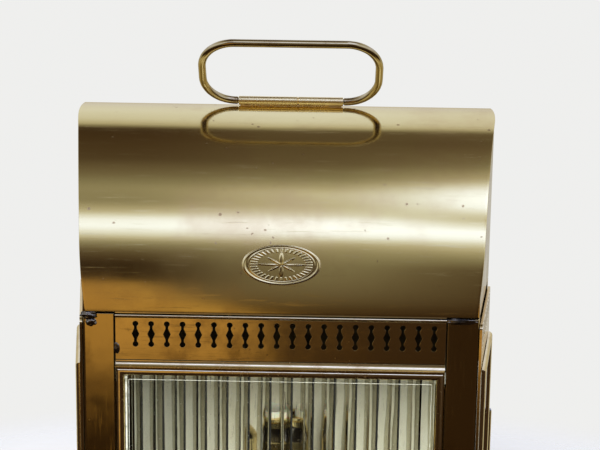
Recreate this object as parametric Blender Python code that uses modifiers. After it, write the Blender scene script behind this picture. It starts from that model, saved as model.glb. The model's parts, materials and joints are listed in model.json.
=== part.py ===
"""Wall candle lantern: curved brass hood, perforated friezes, fluted pane, spring candle tube.

World frame in metres. X to the right, Y from front to back, Z up. The origin is under the
middle of the footprint, on the ground plane. The flat back is for a wall or bulkhead.
"""
import math

import bmesh
import bpy
from mathutils import Matrix, Vector

MM = 0.001

# ---- driving dimensions -------------------------------------------------------------------
HEIGHT = 340.0 * MM            # top of the hood above the ground plane
BACK_HALF = 105.5 * MM         # half width of the body at the back wall line
FRONT_HALF = 93.0 * MM         # half width of the body at the front wall line
DEPTH = 84.0 * MM              # front wall line to back wall line
HOOD_RADIUS = 87.0 * MM        # quarter barrel, crest at the back, lip at the front
FACE_HALF = 77.7 * MM          # half width of the front frieze and of the pane surround
GAP = 0.3 * MM                 # clearance left between neighbouring pieces
SHEET = 0.8 * MM               # brass sheet
PLATE = 1.0 * MM               # heavier sheet: posts, back

FRIEZE_PITCH = 7.39 * MM       # spacing of the pierced pattern
FRONT_PIERCINGS = 20
FRONT_OFFSET = 2.0 * MM         # the front row sits a little right of the middle
SIDE_PIERCINGS = 10
PIERCE_TALL = 12.5 * MM        # one piercing, top to bottom
BEAD_WIDE = 4.0 * MM           # half round moulding around each pane
BEAD_PROUD = 2.0 * MM

TUBE_RADIUS = 14.0 * MM        # candle tube, outside
TUBE_WALL = 0.8 * MM
TUBE_TOP = 178.0 * MM
CANDLE_RADIUS = 10.9 * MM
PANE_THICK = 2.4 * MM
FLUTES = 15                    # ribs on the inner face of the front pane

# ring handle: a long ring of round rod, its lower bar turned down inside the sleeve
RING_WIDE = 88.0 * MM          # between rod centres
RING_TALL = 41.0 * MM
RING_ROD = 1.95 * MM           # rod radius
RING_NECK = 1.4 * MM           # rod radius inside the sleeve
RING_LEAN = 40.0               # degrees forward of upright at rest
SLEEVE_LENGTH = 53.0 * MM
SLEEVE_RADIUS = 2.2 * MM

# ---- derived positions --------------------------------------------------------------------
BACK_WALL = 42.4 * MM                          # y of the back wall line, inside of back plate
FRONT_WALL = BACK_WALL - DEPTH                 # y of the front wall line
BACK_FACE = BACK_WALL + GAP + PLATE            # outer face of the back plate
HANGER_FACE = 45.4 * MM                        # rearmost flat face
EAVES = HEIGHT - HOOD_RADIUS                   # height of the hood axis
FLARE = math.atan2(BACK_HALF - FRONT_HALF, DEPTH)
WALL_LENGTH = math.hypot(BACK_HALF - FRONT_HALF, DEPTH)
PLINTH_TOP = 14.0 * MM
FLOOR_TOP = PLINTH_TOP + GAP + PLATE
POST_FOOT = FLOOR_TOP + GAP
POST_HEAD = EAVES - 1.2 * MM
SILL = 40.0 * MM                               # underside of the front pane surround
SURROUND_TOP = HEIGHT - 114.3 * MM             # top of every pane surround
PIERCE_MID = HEIGHT - 98.0 * MM                # height of the middle of the piercings
FRIEZE_FOOT = PIERCE_MID - PIERCE_TALL / 2 - 6.2 * MM
FRIEZE_HEAD = PIERCE_MID + PIERCE_TALL / 2 + 1.6 * MM
LEAF_FOOT = FLOOR_TOP + 2.0 * MM
LEAF_HEAD = EAVES - 4.0 * MM
LEAF_FRONT = 1.0 * MM                          # along the side wall, from its front end
LEAF_BACK = WALL_LENGTH - 5.6 * MM
LEAF_IN = 0.3 * MM                             # leaf inner face, outwards of the wall line
LEAF_OUT = 1.5 * MM
HINGE_ALONG = WALL_LENGTH - 2.5 * MM
HINGE_OUT = 2.6 * MM
LATCH_ALONG = 9.0 * MM
LATCH_HEIGHT = (LEAF_FOOT + SILL) / 2
TUBE_Y = 2.0 * MM

for item in list(bpy.data.objects):
    bpy.data.objects.remove(item, do_unlink=True)

PARTS = bpy.data.collections.new("candle_lantern")
bpy.context.scene.collection.children.link(PARTS)
CUTTERS = bpy.data.collections.new("cutters")
bpy.context.scene.collection.children.link(CUTTERS)


# ---- helpers ------------------------------------------------------------------------------
def material(name, colour, metallic, roughness, transmission=0.0):
    """A Principled material of its own for one piece."""
    made = bpy.data.materials.new(name + "_finish")
    made.use_nodes = True
    shader = made.node_tree.nodes["Principled BSDF"]
    shader.inputs["Base Color"].default_value = (*colour, 1.0)
    shader.inputs["Metallic"].default_value = metallic
    shader.inputs["Roughness"].default_value = roughness
    shader.inputs["Transmission Weight"].default_value = transmission
    made.diffuse_color = (*colour, 1.0)
    return made


FINISHES = {
    "brass": ((0.55, 0.37, 0.12), 1.0, 0.32, 0.0),
    "dark_brass": ((0.34, 0.22, 0.08), 1.0, 0.42, 0.0),
    "tin": ((0.72, 0.72, 0.70), 1.0, 0.22, 0.0),
    "steel": ((0.45, 0.45, 0.46), 1.0, 0.35, 0.0),
    "glass": ((0.80, 0.86, 0.80), 0.0, 0.05, 0.9),
    "wax": ((0.93, 0.88, 0.72), 0.0, 0.45, 0.0),
    "cotton": ((0.20, 0.17, 0.13), 0.0, 0.90, 0.0),
}


def finish_mesh(name, mesh, finish):
    """Link a mesh as one named piece with its own finish."""
    piece = bpy.data.objects.new(name, mesh)
    PARTS.objects.link(piece)
    mesh.name = name
    mesh.shade_smooth()
    mesh.set_sharp_from_angle(angle=math.radians(35))
    mesh.materials.clear()
    mesh.materials.append(material(name, *FINISHES[finish]))
    return piece


def from_bmesh(name, shape, finish):
    """Close a bmesh into a piece, faces turned outwards."""
    bmesh.ops.recalc_face_normals(shape, faces=shape.faces)
    mesh = bpy.data.meshes.new(name)
    shape.to_mesh(mesh)
    shape.free()
    return finish_mesh(name, mesh, finish)


def solid_into(shape, points, faces):
    """Add points and faces to a bmesh."""
    made = [shape.verts.new(point) for point in points]
    for face in faces:
        shape.faces.new([made[index] for index in face])


def flat_mesh(loops, thickness):
    """Mesh of closed flat loops (first the outside, then holes) with a thickness."""
    curve = bpy.data.curves.new("flat", "CURVE")
    curve.dimensions = "2D"
    curve.fill_mode = "BOTH"
    curve.extrude = thickness / 2
    for loop in loops:
        spline = curve.splines.new("POLY")
        spline.points.add(len(loop) - 1)
        for point, (x, y) in zip(spline.points, loop):
            point.co = (x, y, 0.0, 1.0)
        spline.use_cyclic_u = True
    holder = bpy.data.objects.new("flat", curve)
    bpy.context.scene.collection.objects.link(holder)
    bpy.context.view_layer.update()
    evaluated = holder.evaluated_get(bpy.context.evaluated_depsgraph_get())
    mesh = bpy.data.meshes.new_from_object(evaluated)
    bpy.data.objects.remove(holder, do_unlink=True)
    shape = bmesh.new()
    shape.from_mesh(mesh)
    bmesh.ops.remove_doubles(shape, verts=shape.verts, dist=1e-6)
    bmesh.ops.recalc_face_normals(shape, faces=shape.faces)
    shape.to_mesh(mesh)
    shape.free()
    return mesh


def flat_piece(name, parts, finish):
    """One piece made of flat shapes: each is (loops, thickness, placing matrix)."""
    shape = bmesh.new()
    for loops, thickness, place in parts:
        mesh = flat_mesh(loops, thickness)
        mesh.transform(place)
        shape.from_mesh(mesh)
        bpy.data.meshes.remove(mesh)
    return from_bmesh(name, shape, finish)


def rectangle(x0, x1, y0, y1, corner=0.0, top_only=False):
    """Corner points of a rectangle, its corners rounded."""
    if corner <= 0.0:
        return [(x0, y0), (x1, y0), (x1, y1), (x0, y1)]
    points = []
    for cx, cy, start in ((x1, y0, -90), (x1, y1, 0), (x0, y1, 90), (x0, y0, 180)):
        if top_only and cy == y0:
            points.append((cx, cy))
            continue
        mx = cx - corner if cx == x1 else cx + corner
        my = cy - corner if cy == y1 else cy + corner
        for step in range(5):
            angle = math.radians(start + 22.5 * step)
            points.append((mx + corner * math.cos(angle), my + corner * math.sin(angle)))
    return points


def circle(x, y, radius, sides=16):
    """Points round a circle."""
    turn = 2 * math.pi / sides
    return [(x + radius * math.cos(turn * i), y + radius * math.sin(turn * i))
            for i in range(sides)]


def piercing(x, y):
    """One opening of the frieze: a lozenge between two round holes, joined by slits."""
    half = PIERCE_TALL / 2
    hole, slit = 1.3 * MM, 0.6 * MM
    wide, tall = 1.8 * MM, 2.3 * MM
    neck = math.asin(slit / hole)
    points = []
    for sign in (1, -1):
        middle = y + sign * (half - hole)
        start = -math.pi / 2 + neck if sign > 0 else math.pi / 2 + neck
        sweep = 2 * math.pi - 2 * neck
        for step in range(9):
            angle = start + sweep * step / 8
            points.append((x + hole * math.cos(angle), middle + hole * math.sin(angle)))
        join = tall * (1 - slit / wide)
        points += [(x - sign * slit, y + sign * join), (x - sign * wide, y),
                   (x - sign * slit, y - sign * join)]
    return points


def turned(name, profile, finish, place=None, steps=32):
    """Turn a closed (radius, height) profile about Z, then place it."""
    mesh = bpy.data.meshes.new("profile")
    edges = [(i, i + 1) for i in range(len(profile) - 1)]
    if all(radius > 1e-7 for radius, _ in profile):
        edges.append((len(profile) - 1, 0))
    mesh.from_pydata([(r, 0.0, z) for r, z in profile], edges, [])
    holder = bpy.data.objects.new("profile", mesh)
    bpy.context.scene.collection.objects.link(holder)
    screw = holder.modifiers.new("turn", "SCREW")
    screw.steps = screw.render_steps = steps
    screw.use_merge_vertices = True
    screw.merge_threshold = 1e-6
    bpy.context.view_layer.update()
    evaluated = holder.evaluated_get(bpy.context.evaluated_depsgraph_get())
    round_mesh = bpy.data.meshes.new_from_object(evaluated)
    bpy.data.objects.remove(holder, do_unlink=True)
    round_mesh.transform(place or Matrix())
    shape = bmesh.new()
    shape.from_mesh(round_mesh)
    bpy.data.meshes.remove(round_mesh)
    bmesh.ops.remove_doubles(shape, verts=shape.verts, dist=1e-7)
    return from_bmesh(name, shape, finish)


def rod(radius, length, chamfer=0.2 * MM):
    """Closed profile of a plain rod standing on the origin."""
    return [(0.0, length), (radius - chamfer, length), (radius, length - chamfer),
            (radius, chamfer), (radius - chamfer, 0.0), (0.0, 0.0)]


def frame_sweep(x0, x1, y0, y1, profile):
    """Points and faces of a mitred frame: profile pairs are (inwards, outwards)."""
    points, faces = [], []
    for inwards, out in profile:
        points += [(x0 + inwards, y0 + inwards, out), (x1 - inwards, y0 + inwards, out),
                   (x1 - inwards, y1 - inwards, out), (x0 + inwards, y1 - inwards, out)]
    count = len(profile)
    for ring in range(count):
        near, far = 4 * ring, 4 * ((ring + 1) % count)
        for side in range(4):
            other = (side + 1) % 4
            faces.append((near + side, near + other, far + other, far + side))
    return points, faces


def half_round(wide, proud, steps=8):
    """Half round section, flat side on zero."""
    return [(wide / 2 - wide / 2 * math.cos(math.pi * i / steps),
             proud * math.sin(math.pi * i / steps)) for i in range(steps + 1)]


def upright(origin, along):
    """Placing matrix of an upright panel: local x along it, local y up."""
    along = Vector(along).normalized()
    up = Vector((0.0, 0.0, 1.0))
    third = along.cross(up)
    place = Matrix((along, up, third)).transposed().to_4x4()
    place.translation = Vector(origin)
    return place


def side_axes(side):
    """Front end of a side wall, its direction to the back and its outward direction."""
    start = Vector((side * FRONT_HALF, FRONT_WALL, 0.0))
    along = Vector((side * math.sin(FLARE), math.cos(FLARE), 0.0))
    out = Vector((side * math.cos(FLARE), -math.sin(FLARE), 0.0))
    return start, along, out


def side_point(side, along, out, height):
    """World point from distances along and out of a side wall."""
    start, forward, outward = side_axes(side)
    return start + forward * along + outward * out + Vector((0.0, 0.0, height))


def side_place(side, out):
    """Placing matrix of a flat shape lying in a side wall, its middle plane at out."""
    start, forward, outward = side_axes(side)
    return upright(start + outward * out, forward)


def axis_place(point, direction):
    """Placing matrix that stands a turned shape on a point, its axis along direction."""
    place = Vector(direction).to_track_quat("Z", "Y").to_matrix().to_4x4()
    place.translation = Vector(point)
    return place


def joint_empty(name, point, pieces):
    """Empty on a joint axis that carries the moving pieces."""
    empty = bpy.data.objects.new(name, None)
    empty.empty_display_size = 0.01
    empty.location = point
    PARTS.objects.link(empty)
    for piece in pieces:
        piece.parent = empty
        piece.matrix_parent_inverse = Matrix.Translation(Vector(point)).inverted()


def boolean(piece, cutter, operation):
    """Live exact boolean, the cutter kept out of the finished pieces."""
    for owner in list(cutter.users_collection):
        owner.objects.unlink(cutter)
    CUTTERS.objects.link(cutter)
    cutter.hide_render = True
    cutter.display_type = "WIRE"
    step = piece.modifiers.new(operation.lower(), "BOOLEAN")
    step.operation = operation
    step.solver = "EXACT"
    step.object = cutter


# ---- hood and its gables ------------------------------------------------------------------
def wall_half(depth):
    """Half width of the body at a depth forward of the back wall line."""
    return BACK_HALF - (BACK_HALF - FRONT_HALF) * depth / DEPTH


def hood():
    """Quarter barrel of sheet, its side edges following the flared walls."""
    steps = 28
    shape = bmesh.new()
    rows = []
    for step in range(steps + 1):
        angle = math.pi / 2 * step / steps
        depth = HOOD_RADIUS * math.sin(angle)
        half = wall_half(depth) + 1.4 * MM
        half -= 3.4 * MM * max(0.0, 1 - depth / (0.3 * HOOD_RADIUS)) ** 2
        half -= 2.2 * MM * max(0.0, step / steps - 0.75) ** 2 * 16
        z = EAVES + HOOD_RADIUS * math.cos(angle)
        y = BACK_FACE - depth
        rows.append([shape.verts.new((x * half, y, z)) for x in (-1, -0.5, 0, 0.5, 1)])
    for row, after in zip(rows, rows[1:]):
        for i in range(4):
            shape.faces.new((row[i], after[i], after[i + 1], row[i + 1]))
    mesh = bpy.data.meshes.new("hood")
    shape.to_mesh(mesh)
    shape.free()
    piece = finish_mesh("hood", mesh, "brass")
    thick = piece.modifiers.new("thickness", "SOLIDIFY")
    thick.thickness = SHEET
    thick.offset = -1.0
    return piece


def gable(side, name):
    """Upright end wall under the hood, in line with the side wall."""
    radius = HOOD_RADIUS - SHEET - GAP
    steps = 24
    length = radius / math.cos(FLARE)
    back = WALL_LENGTH - 0.2 * MM
    loop = [(back, EAVES - 0.6 * MM)]
    for step in range(steps + 1):
        angle = math.pi / 2 * step / steps
        along = back - (length - 1.6 * MM) * math.sin(angle)
        loop.append((along, EAVES + (radius - 1.6 * MM) * math.cos(angle)))
    loop.append((loop[-1][0], EAVES - 0.6 * MM))
    return flat_piece(name, [([loop], SHEET, side_place(side, -SHEET / 2))], "brass")


def on_hood(across, along, off):
    """Point on the hood: along is the arc length from the crest, off is the height above."""
    angle = along / HOOD_RADIUS
    reach = HOOD_RADIUS + off
    return (across, BACK_FACE - reach * math.sin(angle), EAVES + reach * math.cos(angle))


def badge():
    """Oval plaque bent to the hood: a raised rim and a raised compass star."""
    half_wide, half_tall = 18.4 * MM, 9.4 * MM
    middle = HOOD_RADIUS * math.radians(74.5)
    spokes = 64
    low, high = 0.9 * MM, 1.5 * MM
    shape = bmesh.new()

    def ring(scale, off, star=False):
        made = []
        for i in range(spokes):
            angle = 2 * math.pi * i / spokes
            reach = scale
            if star:
                point = abs((i % 8) - 4) / 4
                major = 1.0 if (i + 4) // 8 % 2 == 0 else 0.62
                reach = scale * (0.22 + (0.78 * major) * point ** 1.6)
            across = half_wide * reach * math.cos(angle)
            along = middle - half_tall * reach * math.sin(angle)
            made.append(shape.verts.new(on_hood(across, along, off)))
        return made

    rings = [ring(0.62, low, True), ring(0.80, low), ring(0.86, high), ring(0.94, high),
             ring(1.0, low), ring(1.0, GAP)]
    top = shape.verts.new(on_hood(0.0, middle, high))
    bottom = shape.verts.new(on_hood(0.0, middle, GAP))
    for i in range(spokes):
        j = (i + 1) % spokes
        shape.faces.new((top, rings[0][i], rings[0][j]))
        for inner, outer in zip(rings, rings[1:]):
            shape.faces.new((inner[i], outer[i], outer[j], inner[j]))
        shape.faces.new((rings[-1][i], bottom, rings[-1][j]))
    return from_bmesh("badge", shape, "brass")


# ---- ring handle --------------------------------------------------------------------------
HANDLE_POINT = Vector((1.8 * MM, BACK_FACE - 3.2 * MM, HEIGHT + GAP + SLEEVE_RADIUS))


def rod_curve(name, points, radius, closed, finish, resolution=2):
    """Round rod along points, each (place, share of the radius), made into a mesh."""
    curve = bpy.data.curves.new(name, "CURVE")
    curve.dimensions = "3D"
    curve.bevel_depth = radius
    curve.bevel_resolution = resolution
    curve.use_fill_caps = not closed
    curve.twist_mode = "Z_UP" if closed else "MINIMUM"
    spline = curve.splines.new("POLY")
    spline.points.add(len(points) - 1)
    for point, (place, share) in zip(spline.points, points):
        point.co = (*place, 1.0)
        point.radius = share
    spline.use_cyclic_u = closed
    holder = bpy.data.objects.new(name, curve)
    bpy.context.scene.collection.objects.link(holder)
    bpy.context.view_layer.update()
    evaluated = holder.evaluated_get(bpy.context.evaluated_depsgraph_get())
    mesh = bpy.data.meshes.new_from_object(evaluated)
    bpy.data.objects.remove(holder, do_unlink=True)
    shape = bmesh.new()
    shape.from_mesh(mesh)
    bpy.data.meshes.remove(mesh)
    bmesh.ops.remove_doubles(shape, verts=shape.verts, dist=1e-6)
    return from_bmesh(name, shape, finish)


def ring_handle():
    """Long ring of round rod; the lower bar is turned down inside the sleeve."""
    neck = SLEEVE_LENGTH / 2 + 0.6 * MM
    bend = min(RING_TALL / 2, RING_WIDE / 2 - neck - 0.4 * MM)
    reach = RING_WIDE / 2 - bend
    thin = RING_NECK / RING_ROD
    flat = [(-neck, 0.0, 1.0), (-neck + 0.4 * MM, 0.0, thin),
            (neck - 0.4 * MM, 0.0, thin), (neck, 0.0, 1.0)]
    for x, z, first in ((reach, bend, -90), (reach, RING_TALL - bend, 0),
                        (-reach, RING_TALL - bend, 90), (-reach, bend, 180)):
        for step in range(9):
            angle = math.radians(first + 90 * step / 8)
            flat.append((x + bend * math.cos(angle), z + bend * math.sin(angle), 1.0))
    lean = Matrix.Rotation(math.radians(RING_LEAN), 4, "X")
    points = [(HANDLE_POINT + lean @ Vector((x, 0.0, z)), share) for x, z, share in flat]
    return rod_curve("handle_ring", points, RING_ROD, True, "brass")


def sleeve():
    """Hinge tube on the crest of the hood, with one shallow seam groove."""
    half, groove = SLEEVE_LENGTH / 2, 3.6 * MM
    bore = RING_NECK + GAP
    outer = SLEEVE_RADIUS
    profile = [(bore, half), (outer, half), (outer, groove + 0.3 * MM),
               (outer - 0.2 * MM, groove), (outer, groove - 0.3 * MM), (outer, -half),
               (bore, -half)]
    return turned("handle_sleeve", profile, "brass", axis_place(HANDLE_POINT, (1, 0, 0)), 24)


# ---- body ---------------------------------------------------------------------------------
def plan_post(name, side, front):
    """Angle post: one leg in the side wall, one in the front or back wall."""
    if front:
        inner = FACE_HALF + 0.6 * MM
        loop = [side_point(side, 6.0 * MM, 0.0, 0.0), side_point(side, 1.6 * MM, 0.0, 0.0)]
        corner = Vector((side * (FRONT_HALF - 1.2 * MM), FRONT_WALL, 0.0))
        loop += [side_point(side, 0.4 * MM, -0.25 * MM, 0.0), corner]
        loop += [Vector((side * inner, FRONT_WALL, 0.0)),
                 Vector((side * inner, FRONT_WALL + PLATE, 0.0))]
        meet = side_point(side, PLATE * 1.05, -PLATE, 0.0)
        loop += [Vector((meet.x, FRONT_WALL + PLATE, 0.0)),
                 side_point(side, 6.0 * MM, -PLATE, 0.0)]
    else:
        end = WALL_LENGTH - GAP
        loop = [side_point(side, end - 8.0 * MM, 0.0, 0.0), side_point(side, end, 0.0, 0.0)]
        face = loop[-1].y
        loop += [Vector((side * (BACK_HALF - 13.0 * MM), face, 0.0)),
                 Vector((side * (BACK_HALF - 13.0 * MM), face - PLATE, 0.0))]
        meet = side_point(side, end - PLATE, -PLATE, 0.0)
        loop += [Vector((meet.x, face - PLATE, 0.0)),
                 side_point(side, end - 8.0 * MM, -PLATE, 0.0)]
    flat = [(point.x, point.y) for point in loop]
    tall = POST_HEAD - POST_FOOT
    place = Matrix.Translation((0.0, 0.0, (POST_HEAD + POST_FOOT) / 2))
    return flat_piece(name, [([flat], tall, place)], "brass")


def front_place(y):
    """Placing matrix of a flat shape facing the front, its middle plane at y."""
    return upright((0.0, y, 0.0), (1.0, 0.0, 0.0))


def front_frieze():
    """Flat pierced strip above the front pane."""
    foot = FRIEZE_FOOT
    head = FRIEZE_HEAD
    outside = rectangle(-FACE_HALF, FACE_HALF, foot, head)
    first = FRONT_OFFSET - FRIEZE_PITCH * (FRONT_PIERCINGS - 1) / 2
    holes = [piercing(first + FRIEZE_PITCH * i, PIERCE_MID) for i in range(FRONT_PIERCINGS)]
    middle = FRONT_WALL + PLATE - SHEET / 2
    return flat_piece("front_frieze", [([outside, *holes], SHEET, front_place(middle))],
                      "brass")


def front_moulding():
    """Cove that runs from the frieze out to the pane surround."""
    foot = SURROUND_TOP + GAP
    head = FRIEZE_FOOT - GAP
    rise = head - foot
    outer = []
    for step in range(7):
        angle = math.pi / 2 * step / 6
        outer.append((-2.2 * MM * (1 - math.sin(angle)),
                      foot + 0.5 * MM + (rise - 0.5 * MM) * (1 - math.cos(angle))))
    profile = [(-2.2 * MM, foot)] + outer + [(SHEET, head), (SHEET, foot)]
    shape = bmesh.new()
    left = [(-FACE_HALF, FRONT_WALL + 0.2 * MM + out, z) for out, z in profile]
    right = [(FACE_HALF, y, z) for _, y, z in left]
    count = len(profile)
    faces = [tuple(range(count)), tuple(range(2 * count - 1, count - 1, -1))]
    faces += [(i, count + i, count + (i + 1) % count, (i + 1) % count)
              for i in range(count)]
    solid_into(shape, left + right, faces)
    return from_bmesh("front_cove", shape, "brass")


def surround(name, x0, x1, y0, y1, place, outward):
    """Half round mitred moulding around a pane."""
    profile = half_round(BEAD_WIDE, BEAD_PROUD)
    points, faces = frame_sweep(x0, x1, y0, y1, [(a, outward * b) for a, b in profile])
    shape = bmesh.new()
    solid_into(shape, points, faces)
    bmesh.ops.transform(shape, matrix=place, verts=shape.verts)
    return from_bmesh(name, shape, "brass")


def pane(name, x0, x1, y0, y1, place, outward, flutes=0):
    """Glass with a wide bevel on its outer face and, if asked, ribs on its inner face."""
    bevel, drop = 4.7 * MM, 0.9 * MM
    thick = PANE_THICK
    shape = bmesh.new()
    rim = [(x0, y0), (x1, y0), (x1, y1), (x0, y1)]
    lid = [(x0 + bevel, y0 + bevel), (x1 - bevel, y0 + bevel), (x1 - bevel, y1 - bevel),
           (x0 + bevel, y1 - bevel)]
    outer = [shape.verts.new((x, y, -outward * drop)) for x, y in rim]
    inner = [shape.verts.new((x, y, 0.0)) for x, y in lid]
    ribs = max(1, flutes * 6)
    low, high = [], []
    for i in range(ribs + 1):
        share = i / ribs
        depth = thick
        if flutes:
            depth += 1.5 * MM * abs(math.sin(math.pi * share * flutes)) ** 0.8
        x = x0 + (x1 - x0) * share
        low.append(shape.verts.new((x, y0, -outward * depth)))
        high.append(shape.verts.new((x, y1, -outward * depth)))
    shape.faces.new(inner)
    for i in range(4):
        j = (i + 1) % 4
        shape.faces.new((outer[i], outer[j], inner[j], inner[i]))
    shape.faces.new((outer[0], outer[3], high[0], low[0]))
    shape.faces.new((outer[1], low[-1], high[-1], outer[2]))
    shape.faces.new([outer[0], *low, outer[1]])
    shape.faces.new([outer[3], outer[2], *reversed(high)])
    for i in range(ribs):
        shape.faces.new((low[i], high[i], high[i + 1], low[i + 1]))
    bmesh.ops.transform(shape, matrix=place, verts=shape.verts)
    return from_bmesh(name, shape, "glass")


def retainer(name, loop, low, high, place):
    """Long angle strip behind the edge of a pane: loop is its section in x and depth."""
    mesh = flat_mesh([loop], high - low)
    stand = Matrix(((1, 0, 0, 0), (0, 0, 1, (low + high) / 2), (0, 1, 0, 0), (0, 0, 0, 1)))
    mesh.transform(place @ stand)
    shape = bmesh.new()
    shape.from_mesh(mesh)
    bpy.data.meshes.remove(mesh)
    return from_bmesh(name, shape, "brass")


def front_pane_pieces():
    """Surround, fluted pane and its clips."""
    face = FRONT_WALL + PLATE + GAP
    bead_base = front_place(FRONT_WALL + 0.6 * MM)
    surround("front_surround", -FACE_HALF, FACE_HALF, SILL, SURROUND_TOP, bead_base, 1.0)
    edge = FACE_HALF - 1.2 * MM
    low, high = SILL + 1.6 * MM, SURROUND_TOP - 1.6 * MM
    pane("front_glass", -edge, edge, low, high, front_place(face), 1.0, FLUTES)
    back = -(PANE_THICK + 1.5 * MM + GAP)
    for sign, word in ((-1, "left"), (1, "right")):
        a, b, c = (sign * (edge - 3.0 * MM), sign * (edge + 1.6 * MM),
                   sign * (edge + 2.6 * MM))
        loop = [(a, back), (b, back), (b, -GAP), (c, -GAP), (c, back - 0.8 * MM),
                (a, back - 0.8 * MM)]
        retainer("front_retainer_" + word, loop, low + 6.0 * MM, high - 6.0 * MM,
                 front_place(face))


def front_rail():
    """Plain rail below the front pane with a row of round air holes."""
    outside = rectangle(-FACE_HALF, FACE_HALF, POST_FOOT, SILL - GAP)
    holes = [circle(x * 11.0 * MM, (POST_FOOT + SILL) / 2, 2.4 * MM, 12)
             for x in range(-6, 7)]
    middle = FRONT_WALL + PLATE - SHEET / 2
    return flat_piece("front_rail", [([outside, *holes], SHEET, front_place(middle))],
                      "brass")


def back_plate():
    """Flat back of the lantern with clearance for the hanging screw and the rivets."""
    half = BACK_HALF - 0.5 * MM
    outside = rectangle(-half, half, POST_FOOT, HEIGHT - SHEET - 2 * GAP, 2.0 * MM, True)
    holes = [circle(0.0, HANG_HEIGHT, 10.0 * MM, 24)]
    holes += [circle(x, z, 1.9 * MM, 12) for x, z in RIVET_SPOTS]
    middle = BACK_WALL + GAP + PLATE / 2
    return flat_piece("back_plate", [([outside, *holes], PLATE, front_place(middle))],
                      "dark_brass")


HANG_HEIGHT = EAVES - 20.0 * MM
RIVET_SPOTS = [(x * 21.0 * MM, HANG_HEIGHT) for x in (-1, 1)]


def hanger():
    """Keyhole plate riveted to the back, and its two rivets."""
    outside = rectangle(-28.0 * MM, 28.0 * MM, HANG_HEIGHT - 20.0 * MM,
                        HANG_HEIGHT + 20.0 * MM, 4.0 * MM)
    keyhole = []
    for step in range(13):
        angle = math.radians(115 + 310 * step / 12)
        keyhole.append((5.0 * MM * math.cos(angle),
                        HANG_HEIGHT - 3.0 * MM + 5.0 * MM * math.sin(angle)))
    for step in range(7):
        angle = math.radians(180 * step / 6)
        keyhole.append((2.1 * MM * math.cos(angle),
                        HANG_HEIGHT + 7.0 * MM + 2.1 * MM * math.sin(angle)))
    holes = [circle(x, z, 1.9 * MM, 12) for x, z in RIVET_SPOTS]
    thick = HANGER_FACE - BACK_FACE - GAP
    middle = HANGER_FACE - thick / 2
    flat_piece("hanger_plate", [([outside, keyhole, *holes], thick, front_place(middle))],
               "dark_brass")
    start = BACK_WALL - 1.4 * MM
    length = HANGER_FACE - start
    head = [(0.0, length), (1.5 * MM, length), (1.5 * MM, 1.3 * MM), (2.8 * MM, 1.1 * MM),
            (2.2 * MM, 0.3 * MM), (1.0 * MM, 0.0), (0.0, 0.0)]
    for (x, z), word in zip(RIVET_SPOTS, ("left", "right")):
        turned("hanger_rivet_" + word, head, "brass",
               axis_place((x, start, z), (0, 1, 0)), 12)


def ring_plan(inset):
    """Footprint corners of the body, moved inwards by an inset (outwards if negative)."""
    slope = (BACK_HALF - FRONT_HALF) / DEPTH
    front, back = FRONT_WALL + inset, BACK_WALL + GAP + PLATE
    side = inset / math.cos(FLARE)
    near = FRONT_HALF + slope * (front - FRONT_WALL) - side
    far = FRONT_HALF + slope * (back - FRONT_WALL) - side
    return [(-near, front), (near, front), (far, back), (-far, back)]


def plinth():
    """Moulded base ring on the footprint, flat at the back."""
    section = [(-3.8 * MM, 0.0), (-3.8 * MM, 4.0 * MM), (-3.0 * MM, 5.0 * MM),
               (-3.6 * MM, 6.5 * MM), (-2.6 * MM, 9.5 * MM), (-0.8 * MM, 11.5 * MM),
               (-0.8 * MM, PLINTH_TOP), (9.0 * MM, PLINTH_TOP), (9.0 * MM, 11.0 * MM),
               (2.0 * MM, 9.0 * MM), (2.0 * MM, 0.0)]
    shape = bmesh.new()
    points = []
    for inset, z in section:
        corners = ring_plan(inset)
        if inset > 0:
            flat = BACK_WALL + GAP + PLATE - inset
            slope = (BACK_HALF - FRONT_HALF) / DEPTH
            far = FRONT_HALF + slope * (flat - FRONT_WALL) - inset / math.cos(FLARE)
            corners = corners[:2] + [(far, flat), (-far, flat)]
        points += [(x, y, z) for x, y in corners]
    count = len(section)
    faces = []
    for ring in range(count):
        near, far = 4 * ring, 4 * ((ring + 1) % count)
        for i in range(4):
            j = (i + 1) % 4
            faces.append((near + i, near + j, far + j, far + i))
    solid_into(shape, points, faces)
    return from_bmesh("plinth", shape, "dark_brass")


def floor_plate():
    """Floor of the lantern, pierced round the candle tube for air."""
    corners = ring_plan(0.4 * MM)
    holes = [circle(34.0 * MM * math.cos(a), TUBE_Y + 0.8 * 34.0 * MM * math.sin(a),
                    3.0 * MM, 12)
             for a in [math.radians(30 * i) for i in range(12)]]
    place = Matrix.Translation((0.0, 0.0, PLINTH_TOP + GAP + PLATE / 2))
    return flat_piece("floor_plate", [([corners, *holes], PLATE, place)], "dark_brass")


# ---- side panels --------------------------------------------------------------------------
SIDE_X0 = LEAF_FRONT + 5.0 * MM
SIDE_X1 = LEAF_BACK - 5.0 * MM
SIDE_Z0 = SILL


def side_leaf(side, name, with_latch):
    """Flat leaf with the pierced frieze and the pane opening."""
    outside = rectangle(LEAF_FRONT, LEAF_BACK, LEAF_FOOT, LEAF_HEAD, 3.0 * MM, True)
    lap = 3.4 * MM
    opening = rectangle(SIDE_X0 + lap, SIDE_X1 - lap, SIDE_Z0 + lap, SURROUND_TOP - lap)
    middle = (LEAF_FRONT + LEAF_BACK) / 2
    first = middle - FRIEZE_PITCH * (SIDE_PIERCINGS - 1) / 2
    holes = [piercing(first + FRIEZE_PITCH * i, PIERCE_MID) for i in range(SIDE_PIERCINGS)]
    if with_latch:
        holes.append(circle(LATCH_ALONG, LATCH_HEIGHT, 1.6 * MM, 14))
    loops = [outside, opening, *holes]
    thick = LEAF_OUT - LEAF_IN
    place = side_place(side, (LEAF_OUT + LEAF_IN) / 2)
    return flat_piece(name, [(loops, thick, place)], "brass")


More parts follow.
